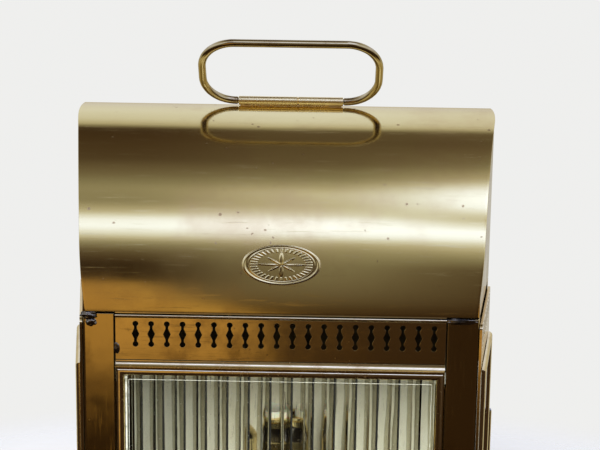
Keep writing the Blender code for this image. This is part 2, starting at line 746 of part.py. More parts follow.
def side_panel(side, prefix, with_latch):
    """Leaf, surround, pane and clips of one side."""
    sign = side
    leaf = side_leaf(side, prefix + "_leaf", with_latch)
    front = SIDE_X0
    bead = surround(prefix + "_surround", front, SIDE_X1, SIDE_Z0, SURROUND_TOP,
                    side_place(side, LEAF_OUT + GAP), sign)
    glass = pane(prefix + "_glass", SIDE_X0 + 2.0 * MM, SIDE_X1 - 1.0 * MM,
                 SIDE_Z0 + 1.0 * MM, SURROUND_TOP - 1.0 * MM,
                 side_place(side, LEAF_IN - GAP), sign)
    back = -sign * (PANE_THICK + GAP)
    finger = back - sign * 0.8 * MM
    x = SIDE_X1 - 1.0 * MM
    loop = [(x - 4.0 * MM, back), (x + GAP, back), (x + GAP, 0.0), (x + 1.3 * MM, 0.0),
            (x + 1.3 * MM, finger), (x - 4.0 * MM, finger)]
    strip = retainer(prefix + "_retainer", loop, SIDE_Z0 + 12.0 * MM,
                     SURROUND_TOP - 12.0 * MM, side_place(side, LEAF_IN - GAP))
    return [leaf, bead, glass, strip]


def knuckle(along_tongue, tongue_in, tongue_out):
    """Plan outline of a hinge barrel with a tongue, and the outline of its bore."""
    outer, bore = 2.0 * MM, 1.3 * MM
    sign = 1 if along_tongue > 0 else -1
    low = tongue_in - HINGE_OUT
    high = min(tongue_out - HINGE_OUT, outer * 0.9)
    points = []
    start, stop = math.asin(high / outer), math.asin(max(low, -0.98 * outer) / outer)
    for step in range(15):
        angle = start + (math.pi - start - stop) * step / 14
        points.append((-sign * outer * math.cos(math.pi - angle),
                       outer * math.sin(math.pi - angle)))
    points += [(along_tongue, low), (along_tongue, high)]
    return points, circle(0.0, 0.0, bore, 14)


def hinge(side):
    """Long hinge at the back edge of the door: one door barrel between two post barrels."""
    axis = side_point(side, HINGE_ALONG, HINGE_OUT, 0.0)
    start, forward, outward = side_axes(side)
    plan = Matrix((forward, outward, Vector((0, 0, 1)))).transposed().to_4x4()
    low, high = LEAF_FOOT + 4.0 * MM, 0.53 * HEIGHT
    share = (high - low) / 4
    gap = 0.4 * MM
    marks = {"post_knuckle_low": (low, low + share),
             "door_knuckle": (low + share + gap, high - share - gap),
             "post_knuckle_high": (high - share, high)}
    made = {}
    for name, (foot, head) in marks.items():
        if name == "door_knuckle":
            loops = knuckle(-5.4 * MM, LEAF_OUT + GAP, LEAF_OUT + GAP + 1.0 * MM)
        else:
            loops = knuckle(2.3 * MM, GAP, GAP + 1.1 * MM)
        place = Matrix.Translation(axis + Vector((0, 0, (foot + head) / 2))) @ plan
        made[name] = flat_piece(name, [(list(loops), head - foot, place)], "brass")
    long = high - low + 2.4 * MM
    pin = [(0.0, long), (1.2 * MM, long), (1.8 * MM, long - 0.4 * MM),
           (1.8 * MM, long - 0.9 * MM), (1.0 * MM, long - 0.9 * MM),
           (1.0 * MM, 0.9 * MM), (1.8 * MM, 0.9 * MM), (1.8 * MM, 0.4 * MM),
           (1.2 * MM, 0.0), (0.0, 0.0)]
    turned("hinge_pin", pin, "steel",
           Matrix.Translation(axis + Vector((0, 0, low - 1.2 * MM))), 14)
    return made["door_knuckle"], axis


def latch(side):
    """Knob and spindle through the leaf, and the tongue that turns behind the post."""
    start, forward, outward = side_axes(side)
    reach = PLATE
    foot = side_point(side, LATCH_ALONG, -reach, LATCH_HEIGHT)
    knob = [(0.0, reach + 10.0 * MM), (2.6 * MM, reach + 9.6 * MM),
            (4.0 * MM, reach + 8.2 * MM), (3.6 * MM, reach + 6.6 * MM),
            (2.0 * MM, reach + 5.4 * MM), (1.8 * MM, reach + 3.6 * MM),
            (2.6 * MM, reach + 2.8 * MM), (2.6 * MM, reach + LEAF_OUT + GAP),
            (1.2 * MM, reach + LEAF_OUT + GAP), (1.2 * MM, 0.0), (0.0, 0.0)]
    knob_piece = turned("latch_knob", knob, "brass", axis_place(foot, outward), 20)
    bar = rectangle(-2.4 * MM, 2.4 * MM, -2.6 * MM, 6.0 * MM, 1.6 * MM)
    thick = 1.2 * MM
    place = side_place(side, -reach - GAP - thick / 2)
    moved = [(LATCH_ALONG + x, LATCH_HEIGHT + z) for x, z in bar]
    tongue = flat_piece("latch_tongue", [([moved], thick, place)], "brass")
    return [knob_piece, tongue], foot


# ---- fittings inside ----------------------------------------------------------------------
def reflector():
    """Polished tin sheet bowed behind the candle, and the studs that carry it."""
    half, low, high = 84.0 * MM, 0.15 * HEIGHT, 0.60 * HEIGHT
    columns = 16

    def bow(x):
        return BACK_WALL - 5.0 * MM - 9.0 * MM * (x / half) ** 2

    shape = bmesh.new()
    rows = [[shape.verts.new((x, bow(x), z)) for z in (low, high)]
            for x in [half * (2 * i / columns - 1) for i in range(columns + 1)]]
    for row, after in zip(rows, rows[1:]):
        shape.faces.new((row[0], after[0], after[1], row[1]))
    mesh = bpy.data.meshes.new("reflector")
    shape.to_mesh(mesh)
    shape.free()
    piece = finish_mesh("reflector", mesh, "tin")
    thick = piece.modifiers.new("thickness", "SOLIDIFY")
    thick.thickness = 0.5 * MM
    thick.offset = 0.0
    for x, word in ((-0.5 * half, "left"), (0.5 * half, "right")):
        start = bow(x) + 1.0 * MM
        turned("reflector_stud_" + word, rod(2.4 * MM, BACK_WALL - start), "brass",
               axis_place((x, start, (low + high) / 2), (0, 1, 0)), 14)


def smoke_shield():
    """Plate above the flame that spreads the heat, on two brackets from the back."""
    level = EAVES + 0.38 * HOOD_RADIUS
    half, near, far = 48.0 * MM, -20.0 * MM, 36.0 * MM
    shape = bmesh.new()
    xs = [-half, -half + 4.0 * MM, half - 4.0 * MM, half]
    ys = [near, near + 4.0 * MM, far - 4.0 * MM, far]
    grid = [[shape.verts.new((x, y, level - (3.0 * MM if i in (0, 3) or j in (0, 3)
                                             else 0.0)))
             for j, y in enumerate(ys)] for i, x in enumerate(xs)]
    for i in range(3):
        for j in range(3):
            shape.faces.new((grid[i][j], grid[i + 1][j], grid[i + 1][j + 1],
                             grid[i][j + 1]))
    mesh = bpy.data.meshes.new("smoke_shield")
    shape.to_mesh(mesh)
    shape.free()
    piece = finish_mesh("smoke_shield", mesh, "tin")
    thick = piece.modifiers.new("thickness", "SOLIDIFY")
    thick.thickness = 0.6 * MM
    thick.offset = 1.0
    top = level - 4.6 * MM
    loop = [(BACK_WALL, top - 24.0 * MM), (BACK_WALL, top), (near + 8.0 * MM, top),
            (near + 8.0 * MM, top - 1.0 * MM), (BACK_WALL - 1.0 * MM, top - 1.0 * MM),
            (BACK_WALL - 1.0 * MM, top - 24.0 * MM)]
    for x, word in ((-26.0 * MM, "left"), (26.0 * MM, "right")):
        flat_piece("shield_bracket_" + word,
                   [([loop], 6.0 * MM, upright((x, 0.0, 0.0), (0.0, 1.0, 0.0)))], "brass")


def ring_sector(shape, inner, outer, start, stop, low, high, steps):
    """Add one sector of a ring, angles in degrees, to a bmesh."""
    points, faces = [], []
    for step in range(steps + 1):
        angle = math.radians(start + (stop - start) * step / steps)
        for radius, z in ((inner, low), (outer, low), (outer, high), (inner, high)):
            points.append((radius * math.cos(angle), TUBE_Y + radius * math.sin(angle), z))
    for step in range(steps):
        a, b = 4 * step, 4 * step + 4
        faces += [(a + i, a + (i + 1) % 4, b + (i + 1) % 4, b + i) for i in range(4)]
    faces += [(3, 2, 1, 0), tuple(4 * steps + i for i in range(4))]
    solid_into(shape, points, faces)


PIN_HEIGHT = TUBE_TOP - 8.0 * MM


def candle_tube():
    """Closed-bottomed tube with two bayonet slots that open at its mouth."""
    foot, outer, inner = FLOOR_TOP + GAP, TUBE_RADIUS, TUBE_RADIUS - TUBE_WALL
    profile = [(0.0, foot + 1.0 * MM), (inner, foot + 1.0 * MM), (inner, TUBE_TOP),
               (outer, TUBE_TOP), (outer, foot), (0.0, foot)]
    tube = turned("candle_tube", profile, "brass", Matrix.Translation((0, TUBE_Y, 0)), 48)
    shape = bmesh.new()
    for base in (0.0, 180.0):
        ring_sector(shape, inner - MM, outer + MM, base - 8, base + 42,
                    PIN_HEIGHT - 1.5 * MM, PIN_HEIGHT + 1.5 * MM, 8)
    boolean(tube, from_bmesh("slot_cutter", shape, "brass"), "DIFFERENCE")
    shape = bmesh.new()
    for base in (0.0, 180.0):
        ring_sector(shape, inner - MM, outer + MM, base + 29, base + 42, PIN_HEIGHT,
                    TUBE_TOP + MM, 3)
    boolean(tube, from_bmesh("entry_cutter", shape, "brass"), "DIFFERENCE")
    return tube


def candle_cap():
    """Nozzle cap that holds the candle down, with two bayonet pins inside its skirt."""
    inner, outer = TUBE_RADIUS + GAP, TUBE_RADIUS + 1.7 * MM
    top = TUBE_TOP + 12.0 * MM
    mouth = 9.2 * MM
    profile = [(mouth, top), (mouth + 2.4 * MM, top), (mouth + 2.8 * MM, top - 1.2 * MM),
               (mouth + 1.6 * MM, top - 2.4 * MM), (mouth + 1.2 * MM, top - 5.0 * MM),
               (outer - 1.0 * MM, TUBE_TOP + 2.4 * MM), (outer, TUBE_TOP + 1.0 * MM),
               (outer, TUBE_TOP - 13.0 * MM), (outer + 1.1 * MM, TUBE_TOP - 14.0 * MM),
               (outer + 1.1 * MM, TUBE_TOP - 15.4 * MM), (outer, TUBE_TOP - 16.2 * MM),
               (inner, TUBE_TOP - 16.2 * MM), (inner, TUBE_TOP + 0.4 * MM),
               (mouth, TUBE_TOP + 5.2 * MM)]
    cap = turned("candle_cap", profile, "brass", Matrix.Translation((0, TUBE_Y, 0)), 48)
    shape = bmesh.new()
    for base in (0.0, 180.0):
        turn = Matrix.Rotation(math.radians(base), 4, "Z")
        centre = Vector((0, TUBE_Y, PIN_HEIGHT))
        place = (Matrix.Translation(centre) @ turn
                 @ Matrix.Translation((inner - 0.1 * MM, 0, 0))
                 @ Matrix.Rotation(math.pi / 2, 4, "Y"))
        bmesh.ops.create_cone(shape, cap_ends=True, segments=10, radius1=1.0 * MM,
                              radius2=1.0 * MM, depth=2.0 * MM, matrix=place)
    pins = from_bmesh("pin_tool", shape, "brass")
    boolean(cap, pins, "UNION")
    return cap


FOLLOWER_TOP = 88.0 * MM


def candle_stack():
    """Follower, candle and wick, with the spring below them."""
    place = Matrix.Translation((0, TUBE_Y, 0))
    wide = TUBE_RADIUS - TUBE_WALL - 0.5 * MM
    top = FOLLOWER_TOP
    cup = [(0.0, top), (wide, top), (wide, top - 9.0 * MM), (wide - 0.8 * MM, top - 9.0 * MM),
           (wide - 0.8 * MM, top - 1.2 * MM), (0.0, top - 1.2 * MM)]
    follower = turned("candle_follower", cup, "tin", place, 32)
    shoulder = TUBE_TOP + 2.6 * MM
    head = TUBE_TOP + 15.0 * MM
    body = [(0.0, head - 1.5 * MM), (3.0 * MM, head - 1.0 * MM), (6.0 * MM, head),
            (7.6 * MM, head - 1.0 * MM), (8.3 * MM, head - 3.0 * MM),
            (8.3 * MM, shoulder + 3.6 * MM), (CANDLE_RADIUS, shoulder),
            (CANDLE_RADIUS, top + GAP), (0.0, top + GAP)]
    candle = turned("candle", body, "wax", place, 32)
    wick = turned("wick", [(r, z + head - 1.2 * MM) for r, z in rod(0.9 * MM, 9.0 * MM)],
                  "cotton", place, 10)
    return [follower, candle, wick]


def tube_spring():
    """Open coil spring under the follower."""
    low, high = FLOOR_TOP + GAP + 1.0 * MM, FOLLOWER_TOP - 1.2 * MM
    wire, reach, turns = 0.6 * MM, 10.6 * MM, 12
    low, high = low + wire + GAP, high - wire - GAP
    count = turns * 12
    points = []
    for step in range(count + 1):
        angle = math.tau * step / 12
        points.append(((reach * math.cos(angle), TUBE_Y + reach * math.sin(angle),
                        low + (high - low) * step / count), 1.0))
    return rod_curve("tube_spring", points, wire, False, "steel", 0)


def tube_fittings():
    """Flange that stands the tube on the floor, its screws, and the wax pan."""
    place = Matrix.Translation((0, TUBE_Y, 0))
    foot, bore = FLOOR_TOP + GAP, TUBE_RADIUS + GAP
    flange = [(bore, foot + 14.0 * MM), (bore + 1.2 * MM, foot + 14.0 * MM),
              (bore + 1.2 * MM, foot + 4.0 * MM), (bore + 3.0 * MM, foot + 2.0 * MM),
              (25.0 * MM, foot + 2.0 * MM), (25.0 * MM, foot), (bore, foot)]
    turned("tube_flange", flange, "brass", place, 32)
    pan_low = TUBE_TOP - 30.0 * MM
    pan = [(bore, pan_low + 9.0 * MM), (bore + 1.0 * MM, pan_low + 9.0 * MM),
           (bore + 1.0 * MM, pan_low + 1.0 * MM), (24.0 * MM, pan_low + 1.0 * MM),
           (28.0 * MM, pan_low + 5.0 * MM), (28.6 * MM, pan_low + 4.2 * MM),
           (24.4 * MM, pan_low), (bore, pan_low)]
    turned("wax_pan", pan, "brass", place, 32)
    screw = [(0.0, 1.6 * MM), (1.2 * MM, 1.5 * MM), (2.2 * MM, 0.8 * MM), (2.4 * MM, 0.0),
             (0.0, 0.0)]
    for turn, word in ((0.0, "right"), (math.pi, "left")):
        x, y = 21.6 * MM * math.cos(turn), TUBE_Y + 21.6 * MM * math.sin(turn)
        turned("flange_screw_" + word, screw, "steel",
               Matrix.Translation((x, y, foot + 2.0 * MM + GAP)), 12)


def top_bead():
    """Half round strip under the hood lip, over the frieze."""
    level = FRIEZE_HEAD + GAP
    profile = [(out, z) for z, out in half_round(1.9 * MM, 1.5 * MM, 6)]
    half = FACE_HALF + 0.0
    y = FRONT_WALL + 0.2 * MM
    left = [(-half, y - out, level + z) for out, z in profile] + [
        (-half, y + SHEET, level + 1.9 * MM), (-half, y + SHEET, level)]
    right = [(half, b, c) for _, b, c in left]
    count = len(left)
    faces = [tuple(range(count)), tuple(range(2 * count - 1, count - 1, -1))]
    faces += [(i, count + i, count + (i + 1) % count, (i + 1) % count)
              for i in range(count)]
    shape = bmesh.new()
    solid_into(shape, left + right, faces)
    return from_bmesh("top_bead", shape, "brass")


# ---- assembly -----------------------------------------------------------------------------
hood()
gable(-1, "gable_left")
gable(1, "gable_right")
badge()
ring = ring_handle()
joint_empty("handle_axis", HANDLE_POINT, [ring])
sleeve()
for post_side, post_word in ((-1, "left"), (1, "right")):
    plan_post("post_front_" + post_word, post_side, True)
    plan_post("post_back_" + post_word, post_side, False)
front_frieze()
front_moulding()
top_bead()
front_pane_pieces()
front_rail()
back_plate()
hanger()
plinth()
floor_plate()
side_panel(-1, "left", False)
door_pieces = side_panel(1, "door", True)
door_knuckles, door_axis = hinge(1)
joint_empty("door_axis", door_axis, door_pieces + [door_knuckles])
latch_pieces, latch_axis = latch(1)
joint_empty("latch_axis", latch_axis, latch_pieces)
reflector()
smoke_shield()
candle_tube()
joint_empty("cap_axis", (0.0, TUBE_Y, TUBE_TOP), [candle_cap()])
joint_empty("candle_axis", (0.0, TUBE_Y, FOLLOWER_TOP), candle_stack())
tube_spring()
tube_fittings()
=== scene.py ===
"""Visual model of a wall candle lantern: curved brass hood, pierced friezes, fluted pane.

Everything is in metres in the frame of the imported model. X to the right, Y to the back, Z up.
"""
import json
import logging
import math
from dataclasses import dataclass, field
from enum import Enum
from functools import cached_property
from typing import Any, Callable, Iterable, Sequence

import bmesh
import bpy
from mathutils import Matrix, Vector, noise

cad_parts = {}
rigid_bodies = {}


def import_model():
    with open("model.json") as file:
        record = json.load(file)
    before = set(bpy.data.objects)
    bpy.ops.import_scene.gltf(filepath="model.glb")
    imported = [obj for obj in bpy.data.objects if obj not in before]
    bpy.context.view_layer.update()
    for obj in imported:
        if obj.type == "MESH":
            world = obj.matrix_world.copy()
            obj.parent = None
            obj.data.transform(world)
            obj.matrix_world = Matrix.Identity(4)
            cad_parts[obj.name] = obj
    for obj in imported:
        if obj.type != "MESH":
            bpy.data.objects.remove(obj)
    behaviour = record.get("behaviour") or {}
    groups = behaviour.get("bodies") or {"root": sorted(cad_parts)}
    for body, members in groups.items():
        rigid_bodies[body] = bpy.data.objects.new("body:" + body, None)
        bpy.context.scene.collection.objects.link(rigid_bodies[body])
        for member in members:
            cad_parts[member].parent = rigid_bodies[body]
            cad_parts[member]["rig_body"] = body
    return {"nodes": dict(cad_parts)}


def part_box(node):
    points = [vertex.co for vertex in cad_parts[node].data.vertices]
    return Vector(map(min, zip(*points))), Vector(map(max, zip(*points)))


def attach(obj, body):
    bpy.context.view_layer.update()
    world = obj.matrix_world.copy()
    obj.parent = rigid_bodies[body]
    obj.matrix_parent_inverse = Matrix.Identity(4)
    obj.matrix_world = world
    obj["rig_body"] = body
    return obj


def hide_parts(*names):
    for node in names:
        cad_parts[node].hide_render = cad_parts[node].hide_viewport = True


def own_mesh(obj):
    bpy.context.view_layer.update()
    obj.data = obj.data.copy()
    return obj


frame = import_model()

LOG = logging.getLogger("lantern")
MM = 0.001
Pair = tuple[float, float]
Colour = tuple[float, float, float]


class Slot(Enum):
    """Material slots of the record."""

    BRASS = "brass"
    DARK_BRASS = "dark_brass"
    TIN = "tin"
    STEEL = "steel"
    GLASS = "glass"
    WAX = "wax"
    COTTON = "cotton"


class Side(Enum):
    """The two side walls, seen from the front."""

    LEFT = -1
    RIGHT = 1


# ---- shared plan --------------------------------------------------------------------------
@dataclass(frozen=True)
class Plan:
    """Sizes that several sub-assemblies share, and the lines they give."""

    back_half: float = 105.5 * MM
    front_half: float = 93.0 * MM
    depth: float = 84.0 * MM
    radius: float = 87.0 * MM
    face_half: float = 77.7 * MM
    gap: float = 0.3 * MM
    sheet: float = 0.8 * MM
    plate: float = 1.0 * MM
    sill: float = 40.0 * MM
    tube_y: float = 2.0 * MM
    flutes: int = 15
    pane_thick: float = 2.4 * MM
    bevel: float = 4.7 * MM
    bead_wide: float = 4.0 * MM
    bead_proud: float = 2.0 * MM
    surround_drop: float = 114.3 * MM
    pierce_drop: float = 98.0 * MM
    latch_along: float = 9.0 * MM
    heart: Colour = (0.0, 0.0, 0.21)

    @cached_property
    def pane_half(self) -> float:
        """Half width of the front pane."""
        return self.face_half - 1.2 * MM

    @cached_property
    def crest(self) -> float:
        """Height of the crest of the hood."""
        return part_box("hood")[1].z

    @cached_property
    def back_face(self) -> float:
        """Outer face of the back plate."""
        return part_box("back_plate")[1].y

    @cached_property
    def eaves(self) -> float:
        """Height of the axis of the hood."""
        return self.crest - self.radius

    @cached_property
    def back_wall(self) -> float:
        """Back wall line."""
        return self.back_face - self.plate - self.gap

    @cached_property
    def front_wall(self) -> float:
        """Front wall line."""
        return self.back_wall - self.depth

    @cached_property
    def pane_face(self) -> float:
        """Outer face of the front pane."""
        return self.front_wall + self.plate + self.gap

    @cached_property
    def flare(self) -> float:
        """Angle of the side walls from square."""
        return math.atan2(self.back_half - self.front_half, self.depth)

    @cached_property
    def wall_length(self) -> float:
        """Length of a side wall from front to back."""
        return math.hypot(self.back_half - self.front_half, self.depth)

    @cached_property
    def surround_top(self) -> float:
        """Top of the pane surrounds."""
        return self.crest - self.surround_drop

    @cached_property
    def pierce_mid(self) -> float:
        """Height of the middle of the piercings."""
        return self.crest - self.pierce_drop

    def hood_half(self, share: float) -> float:
        """Half width of the hood at a share of its quarter turn.

        Args:
            share: 0 at the crest, 1 at the lip.

        Returns:
            Half width in metres.
        """
        depth = self.radius * math.sin(math.pi / 2 * share)
        half = self.back_half - (self.back_half - self.front_half) * depth / self.depth
        half += 1.4 * MM
        half -= 3.4 * MM * max(0.0, 1 - depth / (0.3 * self.radius)) ** 2
        return half - 2.2 * MM * max(0.0, share - 0.75) ** 2 * 16

    def on_hood(self, across: float, along: float, off: float) -> Vector:
        """Point on the hood.

        Args:
            across: distance right of the middle.
            along: arc length from the crest.
            off: height above the sheet.

        Returns:
            The point.
        """
        angle, reach = along / self.radius, self.radius + off
        return Vector((across, self.back_face - reach * math.sin(angle),
                       self.eaves + reach * math.cos(angle)))

    def side_axes(self, side: Side) -> tuple[Vector, Vector, Vector]:
        """Front end of a side wall, its direction to the back and its outward direction."""
        sine, cosine, sign = math.sin(self.flare), math.cos(self.flare), side.value
        return (Vector((sign * self.front_half, self.front_wall, 0.0)),
                Vector((sign * sine, cosine, 0.0)), Vector((sign * cosine, -sine, 0.0)))

    def side_place(self, side: Side, out: float) -> Matrix:
        """Placing matrix of a flat shape in a side wall, its middle plane at out."""
        start, forward, outward = self.side_axes(side)
        return upright(start + outward * out, forward)


def upright(origin: Vector, along: Vector) -> Matrix:
    """Placing matrix of an upright panel: local x along it, local y up."""
    along = Vector(along).normalized()
    third = along.cross(Vector((0.0, 0.0, 1.0)))
    place = Matrix((along, Vector((0.0, 0.0, 1.0)), third)).transposed().to_4x4()
    place.translation = Vector(origin)
    return place


def front_place(y: float) -> Matrix:
    """Placing matrix of a flat shape facing the front."""
    return upright(Vector((0.0, y, 0.0)), Vector((1.0, 0.0, 0.0)))


def axis_place(point: Sequence[float], direction: Sequence[float]) -> Matrix:
    """Placing matrix that stands a turned shape on a point, its axis along direction."""
    place = Vector(direction).to_track_quat("Z", "Y").to_matrix().to_4x4()
    place.translation = Vector(point)
    return place


PLAN = Plan()


# ---- shader nodes -------------------------------------------------------------------------
class Net:
    """Lays nodes in one tree and wires them."""

    def __init__(self, tree: bpy.types.NodeTree) -> None:
        """Keep the tree."""
        self.tree = tree

    def add(self, kind: str, settings: dict[str, Any] | None = None,
            inputs: dict[Any, Any] | None = None) -> bpy.types.Node:
        """Add a node.

        Args:
            kind: node type.
            settings: properties to set.
            inputs: values or sockets for its inputs, by name or index.

        Returns:
            The node.
        """
        node = self.tree.nodes.new(kind)
        for key, value in (settings or {}).items():
            setattr(node, key, value)
        for key, value in (inputs or {}).items():
            self.feed(node.inputs[key], value)
        return node

    def feed(self, socket: bpy.types.NodeSocket, value: Any) -> None:
        """Link a socket into another, or set its value."""
        if isinstance(value, bpy.types.NodeSocket):
            self.tree.links.new(value, socket)
        else:
            socket.default_value = value

    def math(self, operation: str, first: Any, second: Any = 0.0,
             clamp: bool = False) -> bpy.types.NodeSocket:
        """One arithmetic step."""
        return self.add("ShaderNodeMath", {"operation": operation, "use_clamp": clamp},
                        {0: first, 1: second}).outputs[0]

    def vector(self, operation: str, first: Any, second: Any = (0.0, 0.0, 0.0),
               output: str = "Vector") -> bpy.types.NodeSocket:
        """One step of vector arithmetic."""
        return self.add("ShaderNodeVectorMath", {"operation": operation},
                        {0: first, 1: second}).outputs[output]

    def group(self, tree: bpy.types.NodeTree, **inputs: Any) -> Any:
        """Sockets that a shared shader group puts out."""
        return self.add("ShaderNodeGroup", {"node_tree": tree}, inputs).outputs

    def blend(self, factor: Any, first: Any, second: Any,
              mode: str = "MIX") -> bpy.types.NodeSocket:
        """Mix of two colours."""
        node = self.add("ShaderNodeMix", {"data_type": "RGBA", "blend_type": mode,
                                          "clamp_factor": True},
                        {0: factor, 6: first, 7: second})
        return node.outputs[2]

    def ramp(self, value: Any, low: float, high: float, start: float = 0.0,
             stop: float = 1.0) -> bpy.types.NodeSocket:
        """Smooth step of a value between two limits."""
        node = self.add("ShaderNodeMapRange", {"interpolation_type": "SMOOTHSTEP"},
                        {0: value, 1: low, 2: high, 3: start, 4: stop})
        return node.outputs[0]

    def stops(self, factor: Any, stops: Sequence[tuple[float, Colour]]) -> bpy.types.NodeSocket:
        """Colour ramp through the given stops."""
        node = self.add("ShaderNodeValToRGB", None, {0: factor})
        band = node.color_ramp
        for index, (place, colour) in enumerate(stops):
            if index < 2:
                stop = band.elements[index]
                stop.position = place
            else:
                stop = band.elements.new(place)
            stop.color = (*colour, 1.0)
        return node.outputs[0]

    def noise(self, vector: Any, scale: Any, detail: float = 3.0,
              rough: float = 0.55) -> bpy.types.NodeSocket:
        """Value of a noise texture."""
        return self.add("ShaderNodeTexNoise", None,
                        {"Vector": vector, "Scale": scale, "Detail": detail,
                         "Roughness": rough}).outputs[0]


def add_sockets(tree: bpy.types.NodeTree, way: str, sockets: dict[str, tuple[str, Any]]
                ) -> None:
    """Give a tree named sockets.

    Args:
        tree: the tree.
        way: INPUT or OUTPUT.
        sockets: kind and default by name, None for no default.
    """
    for label, (kind, default) in sockets.items():
        socket = tree.interface.new_socket(label, in_out=way, socket_type=kind)
        if default is not None:
            socket.default_value = default


class Effects:
    """Shader node groups that several finishes share. Each is built once."""

    made: dict[str, bpy.types.NodeTree] = {}

    @classmethod
    def open(cls, name: str, inputs: dict[str, tuple[str, Any]],
             outputs: Iterable[str]) -> tuple[Net, Any, Any]:
        """Start a group with named sockets.

        Args:
            name: name of the group.
            inputs: socket kind and default by name.
            outputs: names of the value outputs.

        Returns:
            The net, the group's input node and its output node.
        """
        tree = bpy.data.node_groups.new(name, "ShaderNodeTree")
        add_sockets(tree, "INPUT", inputs)
        add_sockets(tree, "OUTPUT", {label: ("NodeSocketFloat", None) for label in outputs})
        net = Net(tree)
        cls.made[name] = tree
        return net, net.add("NodeGroupInput"), net.add("NodeGroupOutput")

    @classmethod
    def patches(cls) -> bpy.types.NodeTree:
        """Cloudy tarnish and small dark spots."""
        if "old_metal_patches" not in cls.made:
            net, given, result = cls.open(
                "old_metal_patches",
                {"Vector": ("NodeSocketVector", None), "Scale": ("NodeSocketFloat", 18.0),
                 "Low": ("NodeSocketFloat", 0.45), "High": ("NodeSocketFloat", 0.68)},
                ("Clouds", "Spots"))
            broad = net.noise(given.outputs["Vector"], given.outputs["Scale"], 5.0, 0.62)
            clouds = net.add("ShaderNodeMapRange", {"interpolation_type": "SMOOTHSTEP"},
                             {0: broad, 1: given.outputs["Low"], 2: given.outputs["High"]})
            near = net.math("MULTIPLY", given.outputs["Scale"], 13.0)
            cells = net.add("ShaderNodeTexVoronoi", {"feature": "F1"},
                            {"Vector": given.outputs["Vector"], "Scale": near})
            few = net.ramp(net.noise(given.outputs["Vector"], near, 1.0), 0.60, 0.66)
            dots = net.ramp(cells.outputs["Distance"], 0.10, 0.22, 1.0, 0.0)
            net.feed(result.inputs["Clouds"], clouds.outputs[0])
            net.feed(result.inputs["Spots"], net.math("MULTIPLY", dots, few))
        return cls.made["old_metal_patches"]

    @classmethod
    def marks(cls) -> bpy.types.NodeTree:
        """Fine lines left by polishing, stretched along one direction."""
        if "polishing_marks" not in cls.made:
            net, given, result = cls.open(
                "polishing_marks",
                {"Vector": ("NodeSocketVector", None), "Stretch": ("NodeSocketVector", None),
                 "Low": ("NodeSocketFloat", 0.56), "High": ("NodeSocketFloat", 0.70)},
                ("Lines", "Grain"))
            pulled = net.vector("MULTIPLY", given.outputs["Vector"],
                                given.outputs["Stretch"])
            grain = net.noise(pulled, 1.0, 4.0, 0.7)
            lines = net.add("ShaderNodeMapRange", {"interpolation_type": "SMOOTHSTEP"},
                            {0: grain, 1: given.outputs["Low"], 2: given.outputs["High"]})
            net.feed(result.inputs["Lines"], lines.outputs[0])
            net.feed(result.inputs["Grain"], grain)
        return cls.made["polishing_marks"]

    @classmethod
    def rub(cls) -> bpy.types.NodeTree:
        """Corners rubbed bright, broken up where the metal is stained."""
        if "rubbed_edges" not in cls.made:
            net, given, result = cls.open("rubbed_edges", {
                "Break": ("NodeSocketFloat", 0.5),
                "Reach": ("NodeSocketFloat", 0.5 * MM)}, ("Edges",))
            true = net.add("ShaderNodeNewGeometry").outputs["Normal"]
            soft = net.add("ShaderNodeBevel", {"samples": 4},
                           {"Radius": given.outputs["Reach"]}).outputs[0]
            turn = net.vector("DOT_PRODUCT", true, soft, "Value")
            edge = net.ramp(turn, 0.992, 0.93)
            kept = net.math("MULTIPLY_ADD", given.outputs["Break"], 0.7)
            kept.node.inputs[2].default_value = 0.55
            net.feed(result.inputs["Edges"], net.math("MULTIPLY", edge, kept, True))
        return cls.made["rubbed_edges"]


def new_material(label: str) -> tuple[bpy.types.Material, Net, bpy.types.Node, Any]:
    """A fresh material, its net, its Principled shader and its object coordinates."""
    made = bpy.data.materials.new(label)
    made.use_nodes = True
    net = Net(made.node_tree)
    shader = made.node_tree.nodes["Principled BSDF"]
    place = net.add("ShaderNodeTexCoord").outputs["Object"]
    return made, net, shader, place


@dataclass(frozen=True)
class Finish:
    """What a piece is made of, and the slot of the record it belongs to."""

    label: str
    colour: Colour
    slot: Slot = field(default=Slot.BRASS, kw_only=True)

    def material(self) -> bpy.types.Material:
        """The finish's material, built when it is first asked for.

        Returns:
            The material.
        """
        made = bpy.data.materials.get(self.label)
        if made is None:
            made, net, shader, place = new_material(self.label)
            self.dress(net, shader, place)
            made.diffuse_color = (*self.colour, self.solid)
        return made

    @property
    def solid(self) -> float:
        """Opacity outside renders."""
        return 1.0

    def dress(self, net: Net, shader: bpy.types.Node, place: Any) -> None:
        """Lay the nodes of the finish.

        Args:
            net: net of the material.
            shader: its Principled shader.
            place: object coordinates.
        """
        raise NotImplementedError

    def rough(self, net: Net, shade: Any, amount: float, base: float) -> Any:
        """Roughness that grows with a mask."""
        made = net.math("MULTIPLY_ADD", shade, amount)
        made.node.inputs[2].default_value = base
        return made


